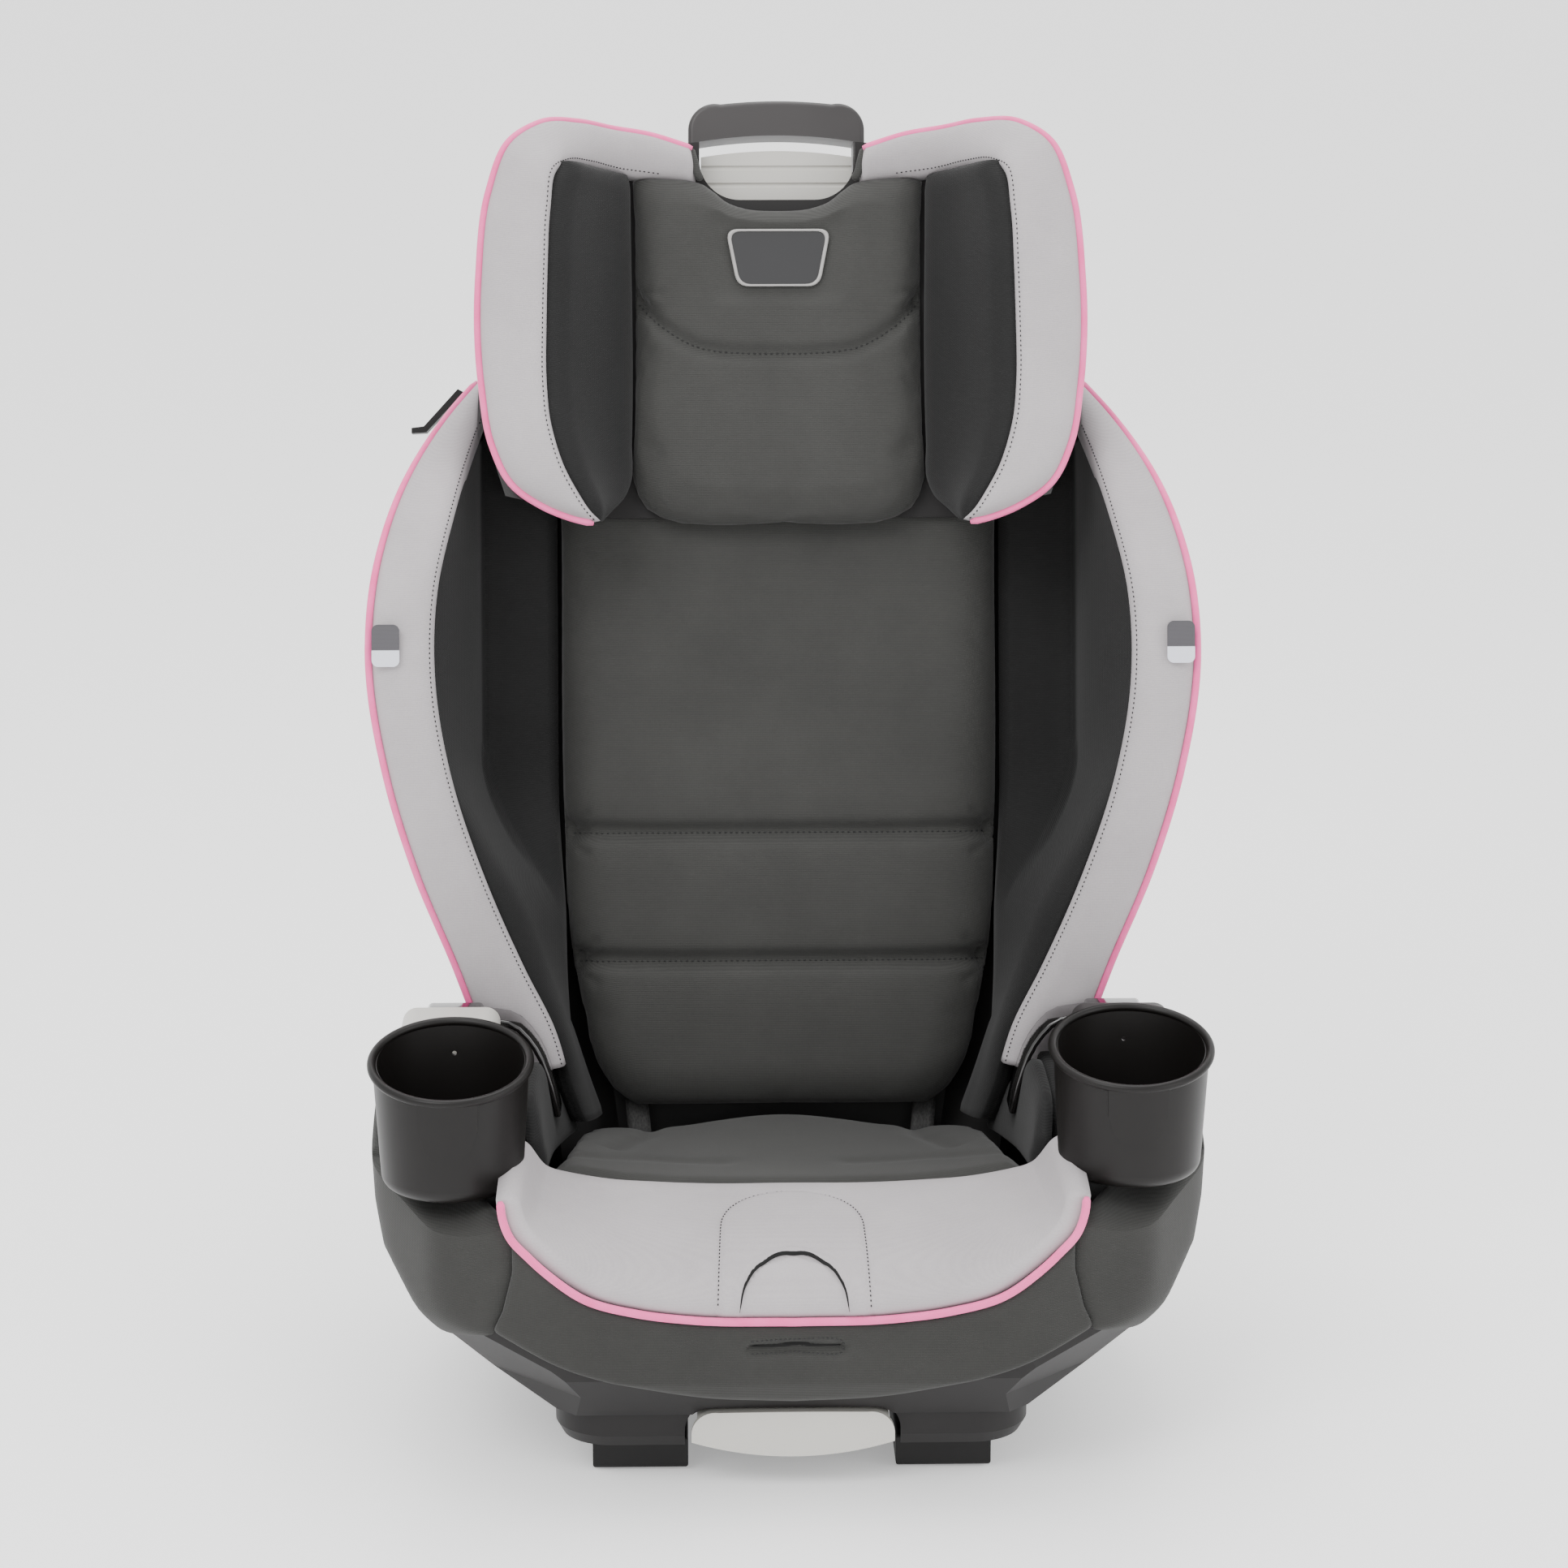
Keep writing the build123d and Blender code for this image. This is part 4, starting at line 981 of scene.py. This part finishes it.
def tubSkin(angle, z, grow):  # a point on the tub, turned from straight ahead, at one height
    angle, z = np.broadcast_arrays(np.asarray(angle, float), np.asarray(z, float))
    sine, cosine = np.abs(np.sin(angle)), np.cos(angle)
    reach = []
    line = [(0, -250)] + tubPlan
    for (ax, ay), (bx, by) in zip(line, line[1:]):
        nx, ny = -(by - ay), (bx - ax)
        nx, ny = -nx, -ny
        size = math.hypot(nx, ny)
        nx, ny = nx / size, ny / size
        if nx * ax + ny * (ay - tubCentre) < 0:
            nx, ny = -nx, -ny
        far = nx * ax + ny * (ay - tubCentre) + grow
        facingRay = nx * sine - ny * cosine
        reach.append(np.where(facingRay > 0.05, far / np.maximum(facingRay, 0.05), 900.0))
    side = np.interp(z, [p[0] for p in tubFront], [p[1] for p in tubFront]) + grow
    reach.append(np.where(sine > 0.15, side / np.maximum(sine, 0.15), 900.0))
    ahead = -np.interp(z, [p[0] for p in tubSide], [p[1] for p in tubSide]) + tubCentre + grow
    reach.append(np.where(cosine > 0.15, ahead / np.maximum(cosine, 0.15), 900.0))
    askew = np.interp(z, [p[0] for p in tubCorner], [p[1] for p in tubCorner]) + grow
    reach.append(np.where(cosine > -0.5, askew / np.maximum((sine + cosine) * 0.7071, 0.1), 900.0))
    r = softLeast(reach, 4.0)
    return np.stack([r * np.sin(angle), tubCentre - r * cosine + centring, z], -1)


apron = {
    "top": [(0, 115), (56, 116.5), (89, 121), (117, 129), (136, 141), (150, 152), (163, 164), (170, 178),
            (173, 188)],
    "low": [(0, 59), (54, 63), (88, 71), (122, 81), (156, 95), (181, 106)],
    "seam": [(97, 178), (117, 169), (142, 163), (162, 163), (190, 172)],
    "slit": [(-25, 100.5), (0, 102), (27, 101)],
}


def turnTo(x, z, grow=2.0):  # the angle at which the tub reaches this far across
    x, z = np.broadcast_arrays(np.asarray(x, float), np.asarray(z, float))
    guess = np.arctan2(x, 150.0)
    for _ in range(14):
        guess = guess + (x - tubSkin(guess, z, grow)[..., 0]) / 230
    return guess


def seamReach(z):
    return np.interp(z, [p[0] for p in apron["seam"]], [p[1] for p in apron["seam"]])


def seamAngle(z):
    return turnTo(seamReach(z), z)


def makeApron():
    u = np.linspace(-1, 1, 120)
    top, low = np.full_like(u, 150.0), np.full_like(u, 80.0)
    for _ in range(8):
        top = follow(apron["top"], np.minimum(abs(u) * seamReach(top), 173))
        low = follow(apron["low"], np.minimum(abs(u) * seamReach(low), 181))
    v = spread(34)[:, None]
    z = low[None] * (1 - v) + top[None] * v
    angle = turnTo(u[None] * seamReach(z), z)
    skin = tubSkin(angle, z, 1.0)
    proud = tubSkin(angle, z, 6.0) - skin
    edge = crown((z - low[None]) + 0.4, 6) * crown(top[None] - z + 0.4, 6)
    edge = edge * crown((1 - abs(u[None])) * 176 + 0.4, 7)
    front = skin + proud * edge[..., None]
    slitGap = away(np.stack([front[..., 0], front[..., 2]], -1), apron["slit"])
    front[..., 1] -= 1.8 * np.exp(-((slitGap - 5) / 3.2) ** 2)
    front[..., 1] += 3.0 * np.exp(-(slitGap / 1.8) ** 2)
    piece = closedForm("seatApron", inRow(front), inRow(skin))
    dress(piece, "frontCharcoal", "seat", "charcoal_fabric", "seat_apron")
    return piece


seatPanel = {
    "seam": [(0, -124, 154.5), (50, -124, 154.5), (80, -124.5, 156), (110, -125, 158.5), (135, -125, 163),
             (147, -126, 167), (154, -131, 175), (160, -142, 188), (164, -156, 199)],
    "front": [(0, 0, 116.5), (56, 0, 118), (89, 0, 122.5), (117, 0, 130.5), (136, 0, 142.5),
              (150, 0, 153.5),
              (161.5, 0, 165), (165.5, 0, 176), (166.5, 0, 186)],
    "patch": {"half": 42, "straight": 62, "high": 104, "raise": 2.0},
    "arch": [(-31, 2), (-28, 16), (-18, 30), (0, 37), (18, 30), (28, 16), (31, 2)],
}


def makeSeatPanel():
    seam = np.array(seatPanel["seam"], float)
    low = np.array(seatPanel["front"], float)
    low = tubSkin(turnTo(low[:, 0], low[:, 2], 1.5), low[:, 2], 1.5)
    run = np.concatenate([[0], np.cumsum(np.linalg.norm(np.diff(low, axis=0), axis=1))])
    at = np.linspace(0, run[-1], 84)
    seam, low = follow(np.column_stack([run, seam]), at), follow(np.column_stack([run, low]), at)
    seam, low = np.concatenate([flip(seam)[:0:-1], seam]), np.concatenate([flip(low)[:0:-1], low])
    v = np.linspace(0, 1, 90)[:, None, None]
    brow = seam * 0.35 + low * 0.65  # the rounded front edge of the seat
    brow[:, 1] = low[:, 1] + 22
    brow[:, 2] = np.maximum(seam[:, 2] - 3, low[:, 2] + 8)
    grid = (1 - v) ** 2 * seam[None] + 2 * v * (1 - v) * brow[None] + v ** 2 * low[None]
    n = surfaceNormals(grid, (0, -0.5, 0.8))
    length = np.concatenate([[0], np.cumsum(np.linalg.norm(np.diff(grid[:, 83], axis=0), axis=1))])
    rise = (length[-1] - length)[:, None] * np.ones(grid.shape[:2])  # distance up from the piping
    x = grid[..., 0]
    ends = run[-1] - abs(np.concatenate([-at[:0:-1], at]))[None]
    swell = crown(v[..., 0] * 120, 14) * crown((1 - v[..., 0]) * 120, 14) * crown(ends + 0.2, 9)
    front = grid + n * (8 * swell)[..., None]
    patch = seatPanel["patch"]
    up = np.maximum(rise - patch["straight"], 0)
    inside = patch["half"] - np.sqrt((abs(x) + np.maximum(patch["straight"] - rise,
                                                          0) * -0.02) ** 2 + up ** 2)
    lift = patch["raise"] / (1 + np.exp(-inside / 0.9)) - 1.0 * np.exp(-((inside + 1.6) / 1.5) ** 2)
    gap = away(np.stack([x, rise], -1), seatPanel["arch"])
    archSide = np.array(seatPanel["arch"][3:], float)
    under = rise < np.interp(abs(x), archSide[:, 0], archSide[:, 1])
    lift = lift + 1.4 * np.exp(-((gap - 2.5) / 2.2) ** 2) * ~under
    lift = lift - 1.6 * under * (abs(x) < 31) * np.clip(gap / 2, 0, 1)
    lift = lift - 1.8 * np.exp(-(gap / 1.3) ** 2)
    front = front + n * lift[..., None]
    back = grid - n * 6
    piece = closedForm("seatFrontPanel", inRow(front), inRow(back))
    dress(piece, "frontGrey", "seat", "grey_fabric", "seat_front_panel")

    def at2(points):  # a point on the panel, across and up from the piping
        found = []
        for px, pr in points:
            i = np.interp(pr, length[-1] - length[::-1], np.arange(90)[::-1])
            j = np.interp(px, x[60], np.arange(x.shape[1]))
            a, b = int(min(i, 88)), int(min(j, x.shape[1] - 2))
            fa, fb = i - a, j - b
            found.append(front[a, b] * (1 - fa) * (1 - fb) + front[a + 1, b] * fa * (1 - fb)
                         + front[a, b + 1] * (1 - fa) * fb + front[a + 1, b + 1] * fa * fb)
        return np.array(found)

    turn = np.linspace(0, math.pi, 30)
    wide = patch["half"] + 1.4  # the stitching runs just outside the patch
    outline = [(wide, 4)] + [(wide * math.cos(t), patch["straight"] + wide * math.sin(t)) for t in turn]
    outline += [(-patch["half"] - 1.4, 4)]
    return piece, low, at2(through(outline, 90)), at2(through(seatPanel["arch"], 40))


seatPad = {"half": 149, "rear": 78, "front": -124, "reach": 18}


def seatHeight(x, y):
    t = np.clip((seatPad["rear"] - y) / (seatPad["rear"] - seatPad["front"]), 0, 1)
    rear = 121 + 11 * np.exp(-(x / 62) ** 2) + 8 * np.clip(abs(x) / 149, 0, 1) ** 4
    ahead = 153 + 13 * np.clip(abs(x) / 150, 0, 1) ** 3.2
    middle = 136 + 10 * np.exp(-(x / 70) ** 2) * (1 - t) + 16 * np.clip(abs(x) / 149, 0, 1) ** 3
    return (1 - t) ** 2 * rear + 2 * t * (1 - t) * middle + t ** 2 * ahead


def makeSeatPad():
    u = spread(64) * 2 - 1
    y = seatPad["rear"] + (seatPad["front"] - seatPad["rear"]) * spread(56)
    half = np.interp(y, (-124, 20, 60, 78), (149, 136, 128, 112))
    x = u[None] * half[:, None]
    y = np.broadcast_to(y[:, None], x.shape)
    lift = crown(half[:, None] - abs(x), seatPad["reach"]) * crown(seatPad["rear"] - y, 20)
    lift = lift * crown(y - seatPad["front"], 16)
    top = seatHeight(x, y) - 7 + 8 * lift
    front = np.stack([x, y, top], -1)
    back = np.stack([x, y, top - 16], -1)
    piece = closedForm("seatCushion", inRow(front), inRow(back))
    puff(piece, 0.005, 3.0, 0.004)
    for side in (-1, 1):
        sew(piece, [(side * 84, 76), (side * 88, 30), (side * 104, -20)], 3.0, 8.0, fromAbove, (0, 0, 1))
        sew(piece, [(side * 40, -60), (side * 88, -52), (side * 140, -70)], 1.6, 9.0, fromAbove, (0, 0, 1))
    dress(piece, "seatCharcoal", "seat", "charcoal_fabric", "seat_pad")
    return piece


def makeSeatSide(side):
    top = through([(154, -132, 186), (156, -112, 203), (156, -70, 207), (155, -30, 205), (152, 10, 184),
                   (146, 50, 160)], 40)
    low = through([(149, -126, 165), (148.5, -105, 160), (148, -70, 153), (146, -30, 146), (140, 10, 140),
                   (132, 50, 134)], 40)
    if side < 0:
        top, low = flip(top), flip(low)
    word = "right" if side > 0 else "left"
    piece = stuffed("seatSideCover_" + word, low, top, 20, inRow, (-side, 0, 0.3), 5.0, 12, 4)
    dress(piece, "dark", "seat", "dark_fabric", "seat_side_" + word)
    return piece


armCover = {
    "low": [(0, 100), (0.18, 88), (0.4, 76), (0.62, 80), (0.82, 106), (1, 150)],
    "top": [(0, 168), (0.15, 160), (0.4, 168), (0.62, 176), (0.82, 186), (1, 192)],
}


def makeArmCover(side):
    u = np.linspace(0, 1, 60)
    low = follow(armCover["low"], u)
    top = follow(armCover["top"], u)
    v = spread(34)[:, None]
    z = low[None] * (1 - v) + top[None] * v
    angle = seamAngle(z) * (1 - u[None]) + math.radians(101) * u[None]
    skin = tubSkin(angle, z, 0.8)
    proud = tubSkin(angle, z, 6.0) - skin
    edge = crown((z - low[None]) + 0.3, 7) * crown(u[None] * 200 + 0.3, 7)
    edge = edge * crown((1 - u[None]) * 200 + 0.3, 7)
    face = skin + proud * edge[..., None]
    middle = np.array([200, -150, 0])
    rows = [face]
    inner = [skin]
    for share, lift in ((0.05, 3.5), (0.12, 5.5), (0.22, 6.5), (0.4, 7), (0.6, 7), (0.8, 7)):
        last = face[-1]
        ahead = last.copy()
        ahead[:, :2] = last[:, :2] * (1 - share) + middle[:2] * share
        ahead[:, 2] = np.minimum(last[:, 2] * (1 - share) + 172 * share + lift * 0.6, 176.5)
        ahead[:, 2] = np.where(last[:, 1] > -118, last[:, 2] + lift * 0.4, ahead[:, 2])
        rows.append(ahead[None])
        below = ahead.copy()
        below[:, 2] -= 3
        inner.append(below[None])
    front, back = np.concatenate(rows), np.concatenate(inner)
    if side < 0:
        front, back = flip(front), flip(back)
    word = "right" if side > 0 else "left"
    piece = closedForm("armrestCover_" + word, inRow(front), inRow(back))
    dress(piece, "frontCharcoal", "seat", "charcoal_fabric", "armrest_cover_" + word)
    return piece


apronPiece = makeApron()
seatPanelPiece, panelEdge, patchLine, archLine = makeSeatPanel()
seatCushion = makeSeatPad()
pipeTurn = np.arctan2(panelEdge[:, 0], tubCentre + centring - panelEdge[:, 1])
seatPipe = tube("seatPiping", inRow(tubSkin(pipeTurn, panelEdge[:, 2] - 0.6, 5.4)), 0.0025)
dress(seatPipe, "pink", "seat", "pink_piping", "seat_piping")
armCovers = {}
for side in (-1, 1):
    word = "right" if side > 0 else "left"
    makeSeatSide(side)
    armCovers[side] = makeArmCover(side)
    core = softCopy("armrestFoam_" + word, "armrest_core_" + word, 0.004, 8)
    dress(core, "dark", "seat", "dark_fabric", "armrest_core_" + word)


def makeSlitShadow(name, path, wide, across, body):  # a dark tube painted as the shadow inside a slit, widest in the middle
    p = np.asarray(path, float)
    ring = []
    for i, q in enumerate(p):
        size = wide * math.sin(math.pi * (i + 0.15) / (len(p) - 0.7)) ** 0.6
        t = p[min(i + 1, len(p) - 1)] - p[max(i - 1, 0)]
        t = t / np.linalg.norm(t)
        side = np.cross(t, across)
        side /= np.linalg.norm(side)
        out = np.cross(side, t)
        for k in range(8):
            w = 2 * math.pi * k / 8
            ring.append(q + side * size * math.cos(w) + out * 0.35 * math.sin(w))
    n = len(p)
    faces = [(i * 8 + k, i * 8 + (k + 1) % 8, (i + 1) * 8 + (k + 1) % 8, (i + 1) * 8 + k)
             for i in range(n - 1) for k in range(8)]
    faces += [tuple(range(8)), tuple((n - 1) * 8 + k for k in range(8))]
    piece = makeObject(name, inRow(ring), faces)
    return dress(piece, "slit", body, "dark_fabric")


# painted shadow: dark tubes along the crotch arch and the apron slit stand in for the shade inside them
makeSlitShadow("crotchSlitShadow", archLine + np.array([0, -0.3, 0.3]), 1.3, (0, -0.8, 0.6), "seat")
slitPath = through([(x, 0, z) for x, z in apron["slit"]], 30)
slitPath = tubSkin(turnTo(slitPath[:, 0], slitPath[:, 2], 4.4), slitPath[:, 2], 4.4)
makeSlitShadow("apronSlitShadow", slitPath, 1.7, (0, -1, 0.1), "seat")


def makeHipStraps():
    made = []
    for side in (-1, 1):
        path = through([(side * 95, 96, 150), (side * 94, 92, 138), (side * 93, 88, 128),
                        (side * 92, 84, 118),
                        (side * 91, 82, 104)], 24)
        across = np.array([7.5, 0, 0])
        grid = np.stack([path - across, path - across * 0.5, path, path + across * 0.5, path + across], 0)
        piece = closedForm("hipStrap", inRow(grid + np.array([0, -0.8, 0.4])),
                           inRow(grid + np.array([0, 0.8, -0.4])))
        made.append(piece)
    piece = joinPieces("hipWebbing", made)
    dress(piece, "webbing", "seat", "webbing", "hip_straps")


makeHipStraps()
print("seat cushions made")


# ---- stitching

def sewAll():
    head, rest = [], []
    head.append(stitches("s", headCushion, [(*p, 60) for p in headArc], onBack, intoBack))
    for side in (-1, 1):
        rim, outer, inner = headRims[side]
        line = inner + (outer - inner) / np.linalg.norm(outer - inner, axis=1, keepdims=True) * 2.6
        head.append(stitches("s", rim, line[6:], onBack, intoBack, pitch=3.0))
        rim, outer, inner = backRims[side]
        line = inner + (outer - inner) / np.linalg.norm(outer - inner, axis=1, keepdims=True) * 2.6
        rest.append(stitches("s", rim, line, onBack, intoBack, pitch=3.0))
    for level in backPad["channels"]:
        rest.append(stitches("s", backCushion, [(x, level, 30) for x in (-134, -60, 0, 60, 134)], onBack,
                             intoBack))
    rest.append(stitches("s", seatPanelPiece, patchLine, inRow, (0, 0.75, -0.66), pitch=3.0))
    slitTop = [(x, -300, z + 4.2) for x, z in apron["slit"]] + [(29, -300, 101)]
    slitLow = [(x, -300, z - 4.2) for x, z in apron["slit"]] + [(29, -300, 101)]
    rest += [stitches("s", apronPiece, line, inRow, (0, 1, 0), pitch=2.6) for line in (slitTop, slitLow)]
    piece = joinPieces("headrestStitching", head)
    dress(piece, "thread", "headrest", "dark_fabric")
    piece = joinPieces("seatStitching", rest)
    dress(piece, "thread", "seat", "dark_fabric")


sewAll()
print("stitching made")


# ---- floor, lights and camera

def makeSweep():  # a floor that curves up into the background
    turn = np.linspace(0, math.pi / 2, 20)
    profile = [(-7.0, 0.0), (0.0, 0.0), (3.0, 0.0)]
    profile += [(3.0 + 3.0 * math.sin(t), 3.0 - 3.0 * math.cos(t)) for t in turn[1:]] + [(6.0, 11.0)]
    verts = [(x, y, z) for y, z in profile for x in (-14.0, 14.0)]
    faces = [(2 * k, 2 * k + 1, 2 * k + 3, 2 * k + 2) for k in range(len(profile) - 1)]
    mesh = bpy.data.meshes.new("studioFloor")
    mesh.from_pydata(verts, [], faces)
    mesh.shade_smooth()
    sweep = bpy.data.objects.new("studioFloor", mesh)
    bpy.context.scene.collection.objects.link(sweep)
    return sweep


floor = makeSweep()
floorMaterial, _, floorShader = newMaterial("paleFloor")
floorShader.inputs["Base Color"].default_value = (0.93, 0.93, 0.93, 1)
floorShader.inputs["Roughness"].default_value = 0.35
floorShader.inputs["Emission Color"].default_value = (1, 1, 1, 1)
floorShader.inputs["Emission Strength"].default_value = 0.35
floor.data.materials.append(floorMaterial)

world = bpy.data.worlds.new("studioWorld")
bpy.context.scene.world = world
world.use_nodes = True
world.node_tree.nodes["Background"].inputs[0].default_value = (1, 1, 1, 1)
world.node_tree.nodes["Background"].inputs[1].default_value = 1.55


def softBox(name, place, target, size, power):
    light = bpy.data.lights.new(name, "AREA")
    light.shape = "RECTANGLE"
    light.size, light.size_y = size
    light.energy = power
    box = bpy.data.objects.new(name, light)
    box.location = place
    box.rotation_euler = (Vector(target) - Vector(place)).to_track_quat("-Z", "Y").to_euler()
    bpy.context.scene.collection.objects.link(box)


softBox("keyLight", (-1.1, -1.9, 2.3), (0, 0, 0.4), (1.4, 1.2), 42)
softBox("fillLight", (1.9, -1.6, 1.2), (0, 0, 0.4), (1.2, 1.6), 16)
softBox("topLight", (0, 0.3, 2.6), (0, 0, 0.4), (1.6, 1.6), 34)

view = {"target": (0, 0.0043, 0.374), "distance": 2.68, "elevation": 14.0, "azimuth": -1.4, "lens": 99.0}
cameraData = bpy.data.cameras.new("studioCamera")
cameraData.lens = view["lens"]
cameraData.sensor_width = 36
camera = bpy.data.objects.new("studioCamera", cameraData)
azimuth, elevation = math.radians(view["azimuth"]), math.radians(view["elevation"])
direction = Vector((math.sin(azimuth) * math.cos(elevation), -math.cos(azimuth) * math.cos(elevation),
                    math.sin(elevation)))
camera.location = Vector(view["target"]) + direction * view["distance"]
camera.rotation_euler = (-direction).to_track_quat("-Z", "Y").to_euler()
bpy.context.scene.collection.objects.link(camera)
bpy.context.scene.camera = camera
print("studio made")
